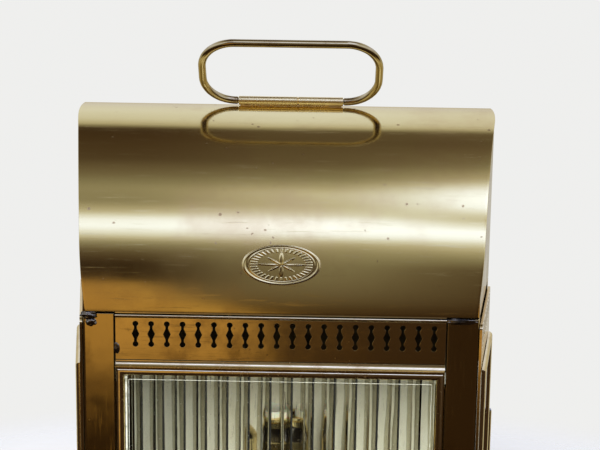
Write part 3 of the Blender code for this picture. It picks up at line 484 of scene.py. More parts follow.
@dataclass(frozen=True)
class Metal(Finish):
    """Aged metal: tarnish clouds, spots, polishing marks, rubbed corners and painted shade on
    faces that look inward.
    """

    tarnish: Colour
    age: float = 0.5
    polish: float = 0.15
    scale: float = 22.0
    stretch: Colour = (60.0, 900.0, 900.0)
    lines: float = 0.25
    ripple: float = 0.02
    edge: Colour = (0.95, 0.80, 0.42)
    edge_share: float = 0.6
    spots: float = 0.6
    metallic: float = 1.0
    inner_shade: float = 0.0

    def dress(self, net: Net, shader: bpy.types.Node, place: Any) -> None:
        """Lay the nodes of the finish."""
        patches = net.group(Effects.patches(), Vector=place, Scale=self.scale)
        marks = net.group(Effects.marks(), Vector=place, Stretch=self.stretch)
        rub = net.group(Effects.rub(), Break=patches["Clouds"])
        aged = net.math("MULTIPLY", patches["Clouds"], self.age)
        colour = net.blend(aged, (*self.colour, 1.0), (*self.tarnish, 1.0))
        dots = net.math("MULTIPLY", patches["Spots"], self.spots)
        colour = net.blend(dots, colour, (self.tarnish[0] * 0.5, self.tarnish[1] * 0.38,
                                          self.tarnish[2] * 0.4, 1.0))
        worn = net.math("MULTIPLY", rub["Edges"], self.edge_share)
        colour = net.blend(worn, colour, (*self.edge, 1.0))
        inner = 0.0
        # Painted shade: faces that look into the lantern are darkened almost to black
        if self.inner_shade > 0.0:
            inner = net.math("MULTIPLY", self.inside(net, place), self.inner_shade)
            colour = net.blend(inner, colour, (0.045, 0.038, 0.022, 1.0))
        net.feed(shader.inputs["Base Color"], colour)
        shader.inputs["Metallic"].default_value = self.metallic
        shader.inputs["Specular Tint"].default_value = (
            *[0.5 + 0.5 * part for part in self.colour], 1.0)
        rough = self.rough(net, marks["Lines"], self.lines * 0.5, self.polish)
        rough = net.math("ADD", rough, net.math("MULTIPLY", aged, 0.16))
        rough = net.math("ADD", rough, net.math("MULTIPLY", dots, 0.3))
        net.feed(shader.inputs["Roughness"], net.math("ADD", rough, net.math(
            "MULTIPLY", inner, 0.4), True))
        waves = net.noise(place, self.scale * 1.7, 2.0)
        first = net.add("ShaderNodeBump", None, {
            "Strength": 1.0, "Distance": self.ripple * MM, "Height": waves})
        second = net.add("ShaderNodeBump", None, {
            "Strength": self.lines, "Distance": 0.02 * MM,
            "Height": marks["Grain"], "Normal": first.outputs[0]})
        net.feed(shader.inputs["Normal"], second.outputs[0])

    def inside(self, net: Net, place: Any) -> bpy.types.NodeSocket:
        """Mask of the faces that look into the lantern, where painted shade darkens the metal.

        Args:
            net: net of the material.
            place: object coordinates.

        Returns:
            1 on inner faces, 0 on outer ones.
        """
        way = net.vector("NORMALIZE", net.vector("SUBTRACT", place, PLAN.heart))
        facing = net.add("ShaderNodeNewGeometry").outputs["Normal"]
        return net.ramp(net.vector("DOT_PRODUCT", facing, way, "Value"), -0.06, -0.16)


@dataclass(frozen=True)
class Glass(Finish):
    """Old glass, clear or with painted bands of light and shade along its flutes. Light passes
    on to what is behind it.
    """

    colour: Colour = (0.93, 0.96, 0.92)
    polish: float = 0.02
    waves: float = 0.10
    specks: float = 0.5
    pitch: float = 0.0
    behind: float = 0.0

    def dress(self, net: Net, shader: bpy.types.Node, place: Any) -> None:
        """Lay the nodes of the finish."""
        patches = net.group(Effects.patches(), Vector=place, Scale=60.0, Low=0.50, High=0.75)
        dirt = net.math("MULTIPLY", patches["Spots"], self.specks)
        colour = net.blend(dirt, (*self.colour, 1.0), (0.16, 0.12, 0.06, 1.0))
        # Painted light and shade: bright and dark bands across the flutes, multiplied into the
        # pane's colour
        if self.pitch > 0.0:
            colour = net.blend(1.0, colour, self.painted_flute_bands(net, place), "MULTIPLY")
        net.feed(shader.inputs["Base Color"], colour)
        shader.inputs["Transmission Weight"].default_value = 1.0
        shader.inputs["IOR"].default_value = 1.5
        rough = self.rough(net, patches["Clouds"], 0.05, self.polish)
        net.feed(shader.inputs["Roughness"], net.math("ADD", rough, dirt, True))
        bump = net.add("ShaderNodeBump", None, {
            "Strength": 1.0, "Distance": self.waves * MM,
            "Height": net.noise(place, 55.0, 2.0)})
        net.feed(shader.inputs["Normal"], bump.outputs[0])
        shade = net.add("ShaderNodeLightPath").outputs["Is Shadow Ray"]
        net.feed(shader.inputs["Alpha"], net.math("SUBTRACT", 1.0,
                                                  net.math("MULTIPLY", shade, 0.9)))

    @property
    def solid(self) -> float:
        """Opacity outside renders."""
        return 0.4

    def painted_flute_bands(self, net: Net, place: Any) -> bpy.types.NodeSocket:
        """Painted bright and dark bands across each flute of the inner face, standing in for
        what the flutes refract, with dark streaks over them.

        Args:
            net: net of the material.
            place: object coordinates.

        Returns:
            Colour that the pane's own is multiplied with.
        """
        axes = net.add("ShaderNodeSeparateXYZ", None, {0: place})
        step = net.math("ADD", net.math("DIVIDE", axes.outputs["X"], self.pitch), 40.5)
        part, count = net.math("FRACT", step), net.math("FLOOR", step)
        column = net.add("ShaderNodeCombineXYZ", None, {
            0: count, 1: net.math("MULTIPLY", axes.outputs["Z"], 22.0)})
        vary = net.noise(column.outputs[0], 0.93, 2.0)
        shifted = net.math("ADD", part, net.math("MULTIPLY", net.math(
            "SUBTRACT", vary, 0.5), 0.30))
        # Painted refraction pattern: a bright band and a dark band across each flute
        painted_bands = net.stops(shifted, [
            (0.00, (0.20, 0.18, 0.12)), (0.08, (0.14, 0.13, 0.09)), (0.10, (1.0, 1.0, 0.95)),
            (0.42, (0.96, 0.96, 0.88)), (0.45, (0.36, 0.33, 0.22)), (0.67, (0.28, 0.25, 0.16)),
            (0.69, (1.0, 1.0, 0.90)), (0.78, (0.80, 0.79, 0.66)), (0.81, (0.10, 0.09, 0.05)),
            (0.93, (0.20, 0.18, 0.11))])
        streak = net.noise(net.vector("MULTIPLY", place, (1400.0, 1400.0, 70.0)), 1.0, 3.0)
        painted_bands = net.blend(net.ramp(streak, 0.60, 0.70, 0.0, 0.8), painted_bands,
                         (0.14, 0.12, 0.07, 1.0))
        inner = net.ramp(axes.outputs["Y"], self.behind, self.behind + 0.3 * MM)
        return net.blend(inner, (1.0, 1.0, 1.0, 1.0), painted_bands)


@dataclass(frozen=True)
class Soft(Finish):
    """Wax or cotton: soft body colour with mottling and a little grain."""

    shade: Colour
    scale: float = 90.0
    polish: float = 0.45
    glow: float = 0.0
    grain: float = 0.08

    def dress(self, net: Net, shader: bpy.types.Node, place: Any) -> None:
        """Lay the nodes of the finish."""
        patches = net.group(Effects.patches(), Vector=place, Scale=self.scale)
        net.feed(shader.inputs["Base Color"], net.blend(
            patches["Clouds"], (*self.colour, 1.0), (*self.shade, 1.0)))
        shader.inputs["Subsurface Weight"].default_value = self.glow
        shader.inputs["Subsurface Scale"].default_value = 4.0 * MM
        net.feed(shader.inputs["Roughness"],
                 self.rough(net, patches["Clouds"], 0.2, self.polish))
        bump = net.add("ShaderNodeBump", None, {
            "Strength": 1.0, "Distance": self.grain * MM,
            "Height": net.noise(place, self.scale * 6.0, 3.0)})
        net.feed(shader.inputs["Normal"], bump.outputs[0])


HOOD_BRASS = Metal("hood_brass", (0.75, 0.595, 0.235), (0.60, 0.39, 0.15), 0.45, 0.11,
                   16.0, (35.0, 800.0, 800.0), 0.22, 0.05, inner_shade=0.9)
# Painted shade: a darker copy of the brass, standing in for the dim reflections on the thin
# ring
SHADED_RING_BRASS = Metal("ring_brass", (0.52, 0.40, 0.18), (0.22, 0.13, 0.06), 0.75, 0.09,
                   60.0, (300.0, 300.0, 300.0), 0.2, 0.05)
FRAME_BRASS = Metal("frame_brass", (0.60, 0.44, 0.17), (0.30, 0.19, 0.07), 0.6, 0.08,
                    26.0, (900.0, 900.0, 60.0), 0.2, 0.05, inner_shade=0.85)
# Painted light: a brighter copy of the brass that makes the sleeve and its solder seat look lit
LIT_SLEEVE_BRASS = Metal("sleeve_brass", (0.92, 0.72, 0.32), (0.60, 0.41, 0.16), 0.4, 0.27,
                     30.0, (700.0, 60.0, 60.0), 0.25, 0.05)
BEAD_BRASS = Metal("bead_brass", (0.82, 0.66, 0.34), (0.52, 0.34, 0.13), 0.5, 0.14,
                   70.0, (500.0, 500.0, 500.0), 0.25, 0.03)
DARK_BRASS = Metal("dark_brass_plate", (0.50, 0.35, 0.14), (0.26, 0.17, 0.07), 0.6, 0.32,
                   24.0, (200.0, 900.0, 200.0), 0.35, 0.06, inner_shade=0.9,
                   slot=Slot.DARK_BRASS)
SOLDER = Metal("grey_solder", (0.24, 0.20, 0.13), (0.02, 0.018, 0.014), 0.9, 0.22,
               140.0, (400.0, 400.0, 400.0), 0.2, 0.15, (0.6, 0.6, 0.6), slot=Slot.TIN)
TIN = Metal("dull_tin", (0.98, 0.97, 0.80), (0.80, 0.75, 0.54), 0.5, 0.34,
            30.0, (700.0, 700.0, 60.0), 0.25, 0.10, (0.9, 0.9, 0.86), 0.4, 0.7, 0.20,
            slot=Slot.TIN)
STEEL = Metal("old_steel", (0.44, 0.43, 0.42), (0.20, 0.13, 0.09), 0.6, 0.30,
              60.0, (500.0, 500.0, 500.0), 0.25, 0.03, (0.7, 0.7, 0.7), slot=Slot.STEEL)
CLEAR_GLASS = Glass("pane_glass", slot=Slot.GLASS)
FLUTED_GLASS = Glass("fluted_glass", (0.97, 0.98, 0.90), 0.02, 0.08, 0.5,
                     PLAN.pane_half * 2 / PLAN.flutes, PLAN.pane_face + 2.0 * MM,
                     slot=Slot.GLASS)
GROUND_GLASS = Soft("ground_glass", (0.62, 0.63, 0.52), (0.26, 0.26, 0.18), 300.0, 0.35,
                    0.0, 0.10, slot=Slot.GLASS)
WAX = Soft("candle_wax", (0.90, 0.85, 0.70), (0.82, 0.73, 0.53), 90.0, 0.42, 0.35,
           slot=Slot.WAX)
COTTON = Soft("wick_cotton", (0.16, 0.13, 0.10), (0.03, 0.025, 0.02), 400.0, 0.9, 0.0, 0.15,
              slot=Slot.COTTON)


# ---- mesh helpers -------------------------------------------------------------------------
def to_mesh(shape: bmesh.types.BMesh, name: str) -> bpy.types.Mesh:
    """Turn a bmesh into a mesh, its doubles merged and its faces outwards, and free it."""
    bmesh.ops.remove_doubles(shape, verts=shape.verts, dist=1e-6)
    bmesh.ops.recalc_face_normals(shape, faces=shape.faces)
    mesh = bpy.data.meshes.new(name)
    shape.to_mesh(mesh)
    shape.free()
    return mesh


def evaluated(holder: bpy.types.Object) -> bpy.types.Mesh:
    """Plain mesh of an object with its modifiers, the object removed."""
    bpy.context.view_layer.update()
    graph = bpy.context.evaluated_depsgraph_get()
    mesh = bpy.data.meshes.new_from_object(holder.evaluated_get(graph))
    bpy.data.objects.remove(holder, do_unlink=True)
    return mesh


def linked(name: str, data: Any) -> bpy.types.Object:
    """Object linked to the scene."""
    made = bpy.data.objects.new(name, data)
    bpy.context.scene.collection.objects.link(made)
    return made


def rounded(mesh: bpy.types.Mesh, width: float, segments: int = 2,
            angle: float = 30.0) -> bpy.types.Mesh:
    """Mesh with its corners rounded.

    Args:
        mesh: closed mesh.
        width: width of the rounding.
        segments: steps round a corner.
        angle: least turn of an edge that is rounded, in degrees.

    Returns:
        A new mesh.
    """
    if width <= 0.0:
        return mesh
    holder = linked("rounding", mesh)
    step = holder.modifiers.new("rounding", "BEVEL")
    step.width, step.segments, step.limit_method = width, segments, "ANGLE"
    step.angle_limit = math.radians(angle)
    step.use_clamp_overlap = True
    step.miter_outer = "MITER_ARC"
    return evaluated(holder)


def evened(mesh: bpy.types.Mesh, name: str) -> bpy.types.Mesh:
    """Mesh whose broad faces stay flat in shading beside their rounded rims."""
    holder = linked("evening", mesh)
    step = holder.modifiers.new("evening", "WEIGHTED_NORMAL")
    step.weight, step.keep_sharp = 100, True
    made = evaluated(holder)
    made.name = name
    return made


def piece(name: str, mesh: bpy.types.Mesh, finish: Finish, node: str = "",
          smooth: float = 32.0) -> bpy.types.Object:
    """Make one finished piece of the lantern.

    Args:
        name: name of the piece.
        mesh: its mesh, in place.
        finish: what it is made of.
        node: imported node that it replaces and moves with; without one it rides on body.
        smooth: edges that turn more than this stay sharp, in degrees.

    Returns:
        The object.
    """
    made = linked(name, mesh)
    mesh.name = name
    mesh.shade_smooth()
    mesh.set_sharp_from_angle(angle=math.radians(smooth))
    mesh.materials.clear()
    mesh.materials.append(finish.material())
    made.data = evened(mesh, name)
    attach(made, body_of(node) if node else "body")
    if node:
        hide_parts(node)
    LOG.info("%s: %d faces", name, len(mesh.polygons))
    return made


def body_of(node: str) -> str:
    """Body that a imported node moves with."""
    return frame["nodes"][node]["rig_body"]


def packed_mesh(node: str, flat: float = 0.6) -> bpy.types.Mesh:
    """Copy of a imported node's mesh, its corners merged and its flat faces joined.

    Args:
        node: name of the node.
        flat: faces that turn less than this are joined, in degrees, 0 for none.

    Returns:
        A new mesh.
    """
    source = frame["nodes"][node].data
    mesh = bpy.data.meshes.new(node)
    mesh.from_pydata([tuple(v.co) for v in source.vertices], [],
                     [tuple(f.vertices) for f in source.polygons])
    shape = bmesh.new()
    shape.from_mesh(mesh)
    bpy.data.meshes.remove(mesh)
    bmesh.ops.remove_doubles(shape, verts=shape.verts, dist=2e-6)
    if flat > 0.0:
        bmesh.ops.dissolve_limit(shape, angle_limit=math.radians(flat), verts=shape.verts,
                                 edges=shape.edges)
    return to_mesh(shape, node)


def softened(node: str, finish: Finish, width: float = 0.25 * MM, segments: int = 2,
             angle: float = 30.0, flat: float = 0.6) -> bpy.types.Object:
    """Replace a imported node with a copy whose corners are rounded.

    Args:
        node: name of the node.
        finish: what it is made of.
        width: width of the rounding.
        segments: steps round a corner.
        angle: least turn of a rounded edge, in degrees.
        flat: faces that turn less than this are joined first.

    Returns:
        The finished piece.
    """
    mesh = rounded(packed_mesh(node, flat), width, segments, angle)
    return piece("fine_" + node, mesh, finish, node)


def flat_sheet(loops: Sequence[Sequence[Pair]], thickness: float) -> bpy.types.Mesh:
    """Closed flat sheet from its outline and the outlines of its openings."""
    curve = bpy.data.curves.new("sheet", "CURVE")
    curve.dimensions, curve.fill_mode, curve.extrude = "2D", "BOTH", thickness / 2
    for loop in loops:
        spline = curve.splines.new("POLY")
        spline.points.add(len(loop) - 1)
        for point, (x, y) in zip(spline.points, loop):
            point.co = (x, y, 0.0, 1.0)
        spline.use_cyclic_u = True
    shape = bmesh.new()
    shape.from_mesh(evaluated(linked("sheet", curve)))
    return to_mesh(shape, "sheet")


def lathe(profile: Sequence[Pair], place: Matrix | None = None,
          steps: int = 72) -> bpy.types.Mesh:
    """Turn a closed (radius, height) profile about Z.

    Args:
        profile: corner points; those on the axis close the shape.
        place: placing matrix.
        steps: faces round the axis.

    Returns:
        The mesh.
    """
    shape = bmesh.new()
    rings = []
    for radius, height in profile:
        if radius < 1e-7:
            rings.append([shape.verts.new((0.0, 0.0, height))] * steps)
            continue
        turn = math.tau / steps
        rings.append([shape.verts.new((radius * math.cos(turn * i),
                                       radius * math.sin(turn * i), height))
                      for i in range(steps)])
    pairs = list(zip(rings, rings[1:]))
    if profile[0][0] > 1e-7 and profile[-1][0] > 1e-7:
        pairs.append((rings[-1], rings[0]))
    for ring, after in pairs:
        for i in range(steps):
            j = (i + 1) % steps
            corners = list(dict.fromkeys((ring[i], ring[j], after[j], after[i])))
            if len(corners) > 2:
                shape.faces.new(corners)
    if place is not None:
        bmesh.ops.transform(shape, matrix=place, verts=shape.verts)
    return to_mesh(shape, "turned")


def rod_mesh(points: Sequence[tuple[Vector, float]], radius: float, closed: bool,
             resolution: int = 6) -> bpy.types.Mesh:
    """Round rod along points, each a place and a share of the radius."""
    curve = bpy.data.curves.new("rod", "CURVE")
    curve.dimensions, curve.bevel_depth, curve.bevel_resolution = "3D", radius, resolution
    curve.use_fill_caps = not closed
    curve.twist_mode = "Z_UP" if closed else "MINIMUM"
    spline = curve.splines.new("POLY")
    spline.points.add(len(points) - 1)
    for point, (place, share) in zip(spline.points, points):
        point.co = (*place, 1.0)
        point.radius = share
    spline.use_cyclic_u = closed
    shape = bmesh.new()
    shape.from_mesh(evaluated(linked("rod", curve)))
    return to_mesh(shape, "rod")


def rectangle(x0: float, x1: float, y0: float, y1: float, corner: float = 0.0,
              top_only: bool = False) -> list[Pair]:
    """Corner points of a rectangle, its corners rounded."""
    if corner <= 0.0:
        return [(x0, y0), (x1, y0), (x1, y1), (x0, y1)]
    points: list[Pair] = []
    for cx, cy, start in ((x1, y0, -90), (x1, y1, 0), (x0, y1, 90), (x0, y0, 180)):
        if top_only and cy == y0:
            points.append((cx, cy))
            continue
        mx = cx - corner if cx == x1 else cx + corner
        my = cy - corner if cy == y1 else cy + corner
        for step in range(9):
            angle = math.radians(start + 11.25 * step)
            points.append((mx + corner * math.cos(angle), my + corner * math.sin(angle)))
    return points


def circle(x: float, y: float, radius: float, sides: int = 32) -> list[Pair]:
    """Points round a circle."""
    turn = math.tau / sides
    return [(x + radius * math.cos(turn * i), y + radius * math.sin(turn * i))
            for i in range(sides)]


def mitred_frame(x0: float, x1: float, y0: float, y1: float,
                 profile: Sequence[Pair]) -> bmesh.types.BMesh:
    """Mitred frame; profile pairs are (inwards, outwards)."""
    shape = bmesh.new()
    rings = []
    for inwards, out in profile:
        rings.append([shape.verts.new(corner) for corner in (
            (x0 + inwards, y0 + inwards, out), (x1 - inwards, y0 + inwards, out),
            (x1 - inwards, y1 - inwards, out), (x0 + inwards, y1 - inwards, out))])
    for near, far in zip(rings, rings[1:] + rings[:1]):
        for side in range(4):
            other = (side + 1) % 4
            shape.faces.new((near[side], near[other], far[other], far[side]))
    return shape


def half_round(wide: float, proud: float, steps: int = 18) -> list[Pair]:
    """Half round section, flat side on zero."""
    return [(wide / 2 - wide / 2 * math.cos(math.pi * i / steps),
             proud * math.sin(math.pi * i / steps)) for i in range(steps + 1)]


def bar(sections: Sequence[Sequence[Sequence[float]]], name: str) -> bpy.types.Mesh:
    """Bar through cross sections with equal numbers of corners, its ends closed."""
    shape = bmesh.new()
    rows = [[shape.verts.new(corner) for corner in section] for section in sections]
    for row, after in zip(rows, rows[1:]):
        for i, start in enumerate(row):
            j = (i + 1) % len(row)
            shape.faces.new((start, row[j], after[j], after[i]))
    shape.faces.new(rows[0])
    shape.faces.new(rows[-1])
    return to_mesh(shape, name)


def strip(half: float, profile: Sequence[Pair]) -> bpy.types.Mesh:
    """Straight strip across the front; profile pairs are (y, z)."""
    return bar([[(x, y, z) for y, z in profile] for x in (-half, 0.0, half)], "strip")


def thick_sheet(grid: Sequence[Sequence[Sequence[float]]], thickness: float, offset: float,
                edge: float, angle: float, name: str) -> bpy.types.Mesh:
    """Curved sheet of even thickness with rounded rims.

    Args:
        grid: lines of points on the sheet.
        thickness: its thickness.
        offset: -1 when the thickness lies behind the points, 0 when it straddles them.
        edge: width of the rounding.
        angle: least turn of a rounded edge, in degrees.
        name: name of the mesh.

    Returns:
        The mesh.
    """
    shape = bmesh.new()
    lines = [[shape.verts.new(point) for point in line] for line in grid]
    for line, after in zip(lines, lines[1:]):
        for i in range(len(line) - 1):
            shape.faces.new((line[i], after[i], after[i + 1], line[i + 1]))
    mesh = bpy.data.meshes.new(name)
    shape.to_mesh(mesh)
    shape.free()
    holder = linked(name, mesh)
    step = holder.modifiers.new("thickness", "SOLIDIFY")
    step.thickness, step.offset = thickness, offset
    return rounded(evaluated(holder), edge, 2, angle)


# ---- geometry node trees ------------------------------------------------------------------
class Pattern:
    """Geometry node trees for what repeats. Each is built once and reused."""

    made: dict[str, bpy.types.NodeTree] = {}

    @classmethod
    def open(cls, name: str, inputs: dict[str, tuple[str, Any]]) -> tuple[Net, Any, Any]:
        """Start a tree with a geometry socket and named inputs."""
        tree = bpy.data.node_groups.new(name, "GeometryNodeTree")
        main = {"Geometry": ("NodeSocketGeometry", None)}
        add_sockets(tree, "INPUT", main | inputs)
        add_sockets(tree, "OUTPUT", main)
        cls.made[name] = tree
        net = Net(tree)
        return net, net.add("NodeGroupInput"), net.add("NodeGroupOutput")

    @staticmethod
    def close(net: Net, geometry: Any, given: Any, result: Any) -> None:
        """End a tree in plain mesh with its finish set."""
        plain = net.add("GeometryNodeRealizeInstances", None, {0: geometry})
        dressed = net.add("GeometryNodeSetMaterial", None, {
            "Geometry": plain.outputs[0], "Material": given.outputs["Finish"]})
        net.feed(result.inputs[0], dressed.outputs[0])

    @classmethod
    def pierced(cls) -> bpy.types.NodeTree:
        """Sheet with one cutter taken out at every spot."""
        if "pierced_sheet" not in cls.made:
            net, given, result = cls.open("pierced_sheet", {
                "Cutter": ("NodeSocketObject", None), "Spots": ("NodeSocketObject", None),
                "Finish": ("NodeSocketMaterial", None)})
            tool = net.add("GeometryNodeObjectInfo", None, {0: given.outputs["Cutter"]})
            spots = net.add("GeometryNodeObjectInfo", None, {0: given.outputs["Spots"]})
            row = net.add("GeometryNodeInstanceOnPoints", None, {
                "Points": spots.outputs["Geometry"], "Instance": tool.outputs["Geometry"]})
            solid = net.add("GeometryNodeRealizeInstances", None, {0: row.outputs[0]})
            cut = net.add("GeometryNodeMeshBoolean", {"operation": "DIFFERENCE"})
            net.feed(cut.inputs["Mesh 1"], given.outputs["Geometry"])
            net.feed(cut.inputs["Mesh 2"], solid.outputs[0])
            cls.close(net, cut.outputs[0], given, result)
        return cls.made["pierced_sheet"]

    @classmethod
    def beaded(cls) -> bpy.types.NodeTree:
        """A small bead on every point of a path."""
        if "beaded_path" not in cls.made:
            net, given, result = cls.open("beaded_path", {
                "Bead Radius": ("NodeSocketFloat", 0.3 * MM),
                "Finish": ("NodeSocketMaterial", None)})
            ball = net.add("GeometryNodeMeshUVSphere", None, {
                "Segments": 10, "Rings": 6, "Radius": given.outputs["Bead Radius"]})
            row = net.add("GeometryNodeInstanceOnPoints", None, {
                "Points": given.outputs["Geometry"], "Instance": ball.outputs[0]})
            cls.close(net, row.outputs[0], given, result)
        return cls.made["beaded_path"]

    @classmethod
    def coil(cls) -> bpy.types.NodeTree:
        """Open coil of round wire standing on the origin."""
        if "wire_coil" not in cls.made:
            net, given, result = cls.open("wire_coil", {
                "Turns": ("NodeSocketFloat", 12.0), "Reach": ("NodeSocketFloat", 10.6 * MM),
                "Height": ("NodeSocketFloat", 60.0 * MM), "Wire": ("NodeSocketFloat", 0.6 * MM),
                "Finish": ("NodeSocketMaterial", None)})
            path = net.add("GeometryNodeCurveSpiral", None, {
                "Resolution": 28, "Rotations": given.outputs["Turns"],
                "Start Radius": given.outputs["Reach"],
                "End Radius": given.outputs["Reach"], "Height": given.outputs["Height"]})
            ring = net.add("GeometryNodeCurvePrimitiveCircle", None, {
                "Resolution": 10, "Radius": given.outputs["Wire"]})
            wire = net.add("GeometryNodeCurveToMesh", None, {
                "Curve": path.outputs[0], "Profile Curve": ring.outputs[0],
                "Fill Caps": True})
            cls.close(net, wire.outputs[0], given, result)
        return cls.made["wire_coil"]


def apply_pattern(mesh: bpy.types.Mesh, tree: bpy.types.NodeTree,
                  values: dict[str, Any]) -> bpy.types.Mesh:
    """Run a geometry node tree on a mesh.

    Args:
        mesh: mesh it starts from.
        tree: the tree.
        values: inputs by socket name.

    Returns:
        The result as a plain mesh.
    """
    holder = linked("pattern", mesh)
    step = holder.modifiers.new("pattern", "NODES")
    step.node_group = tree
    for item in tree.interface.items_tree:
        if getattr(item, "in_out", "") == "INPUT" and item.name in values:
            step[item.identifier] = values[item.name]
    return evaluated(holder)


def point_mesh(points: Iterable[Sequence[float]]) -> bpy.types.Mesh:
    """Mesh of loose points."""
    mesh = bpy.data.meshes.new("spots")
    mesh.from_pydata([tuple(point) for point in points], [], [])
    return mesh


def pierced_sheet(loops: Sequence[Sequence[Pair]], thickness: float,
                  cutter: Sequence[Pair], spots: Iterable[Pair], finish: Finish,
                  edge: float = 0.16 * MM) -> bpy.types.Mesh:
    """Flat sheet with a row of equal openings and rounded rims.

    Args:
        loops: outline and plain openings.
        thickness: thickness of the sheet.
        cutter: outline of one repeated opening about its own middle.
        spots: middles of the repeated openings.
        finish: what it is made of.
        edge: width of the rounding.

    Returns:
        The mesh, lying in its own plane.
    """
    tool = linked("cutter", flat_sheet([cutter], thickness * 4))
    places = linked("spots", point_mesh((x, y, 0.0) for x, y in spots))
    mesh = apply_pattern(flat_sheet(loops, thickness), Pattern.pierced(), {
        "Cutter": tool, "Spots": places, "Finish": finish.material()})
    for helper in (tool, places):
        bpy.data.objects.remove(helper, do_unlink=True)
    return rounded(mesh, edge, 2, 50.0)


# ---- hood ---------------------------------------------------------------------------------
@dataclass
class Hood:
    """Quarter barrel of sheet brass with its plaque and its two end walls."""

    columns: int = 150
    rows: int = 84
    dent: float = 0.055 * MM
    plaque_wide: float = 18.4 * MM
    plaque_tall: float = 9.4 * MM
    plaque_turn: float = 74.5

    def sheet(self) -> bpy.types.Object:
        """The curved sheet, hand worked and so never quite even."""
        grid = []
        for row in range(self.rows + 1):
            share = row / self.rows
            half, along = PLAN.hood_half(share), PLAN.radius * math.pi / 2 * share
            line = []
            for column in range(self.columns + 1):
                across = half * (2 * column / self.columns - 1)
                spot = Vector((across * 14.0, along * 22.0, 3.7))
                wave = noise.noise(spot) + 0.5 * noise.noise(spot * 2.3)
                off = -self.dent * (1.0 + wave)
                line.append(PLAN.on_hood(across, along, off))
            grid.append(line)
        mesh = thick_sheet(grid, PLAN.sheet - 0.12 * MM, -1.0, 0.22 * MM, 50.0, "hood_sheet")
        return piece("hood_sheet", mesh, HOOD_BRASS, "hood")

    def relief(self, reach: float, angle: float) -> float:
        """Height of the plaque's face.

        Args:
            reach: 0 in the middle, 1 at the rim.
            angle: direction from the middle.

        Returns:
            Height above the sheet in metres.
        """
        height = 0.34 * MM
        height += 0.30 * MM * math.exp(-((reach - 0.945) / 0.030) ** 2)
        height += 0.14 * MM * math.exp(-((reach - 0.84) / 0.014) ** 2)
        if 0.62 < reach < 0.80:
            height += 0.20 * MM * max(0.0, math.cos(angle * 36)) ** 0.5
        fold = abs((angle * 8 / math.tau) % 1.0 - 0.5) * 2
        long = int(round(angle * 8 / math.tau)) % 2 == 0
        limit = (0.56 if long else 0.40) * fold ** 1.5 + 0.10
        if reach < limit:
            height += 0.42 * MM * min(1.0, (limit - reach) / 0.12) * (0.6 + 0.4 * fold)
        return height

    def plaque(self) -> bpy.types.Object:
        """Oval plaque: a raised rim, a ring of short rays and a compass star."""
        spokes, rings = 288, 60
        middle = PLAN.radius * math.radians(self.plaque_turn)
        shape = bmesh.new()

        def spot(reach: float, angle: float, off: float) -> bmesh.types.BMVert:
            """One corner of the plaque."""
            return shape.verts.new(PLAN.on_hood(
                self.plaque_wide * reach * math.cos(angle),
                middle - self.plaque_tall * reach * math.sin(angle), off))

        lines = []
        for ring in range(1, rings + 1):
            reach = ring / rings
            lines.append([spot(reach, math.tau * i / spokes,
                               self.relief(reach, math.tau * i / spokes))
                          for i in range(spokes)])
        lines.append([spot(1.004, math.tau * i / spokes, 0.05 * MM) for i in range(spokes)])
        top, foot = spot(0.0, 0.0, self.relief(0.0, 0.0)), spot(0.0, 0.0, 0.02 * MM)
        for i in range(spokes):
            j = (i + 1) % spokes
            shape.faces.new((top, lines[0][i], lines[0][j]))
            for inner, outer in zip(lines, lines[1:]):
                shape.faces.new((inner[i], outer[i], outer[j], inner[j]))
            shape.faces.new((lines[-1][i], foot, lines[-1][j]))
        return piece("plaque", to_mesh(shape, "plaque"), PLAQUE_BRASS, "badge", 60.0)

    def rope(self) -> bpy.types.Object:
        """Row of tiny beads round the plaque."""
        middle = PLAN.radius * math.radians(self.plaque_turn)
        count = 110
        points = [PLAN.on_hood(self.plaque_wide * 1.0 * math.cos(math.tau * i / count),
                               middle - self.plaque_tall * math.sin(math.tau * i / count),
                               0.12 * MM) for i in range(count)]
        mesh = apply_pattern(point_mesh(points), Pattern.beaded(), {
            "Bead Radius": 0.26 * MM, "Finish": PLAQUE_BRASS.material()})
        return piece("plaque_beads", mesh, PLAQUE_BRASS)

    def build(self) -> None:
        """Make the hood."""
        self.sheet()
        self.plaque()
        self.rope()
        for node in ("gable_left", "gable_right"):
            softened(node, FRAME_BRASS, 0.15 * MM)


PLAQUE_BRASS = Metal("plaque_brass", (0.72, 0.56, 0.22), (0.30, 0.18, 0.06), 0.5, 0.15,
                     90.0, (500.0, 500.0, 500.0), 0.2, 0.02)


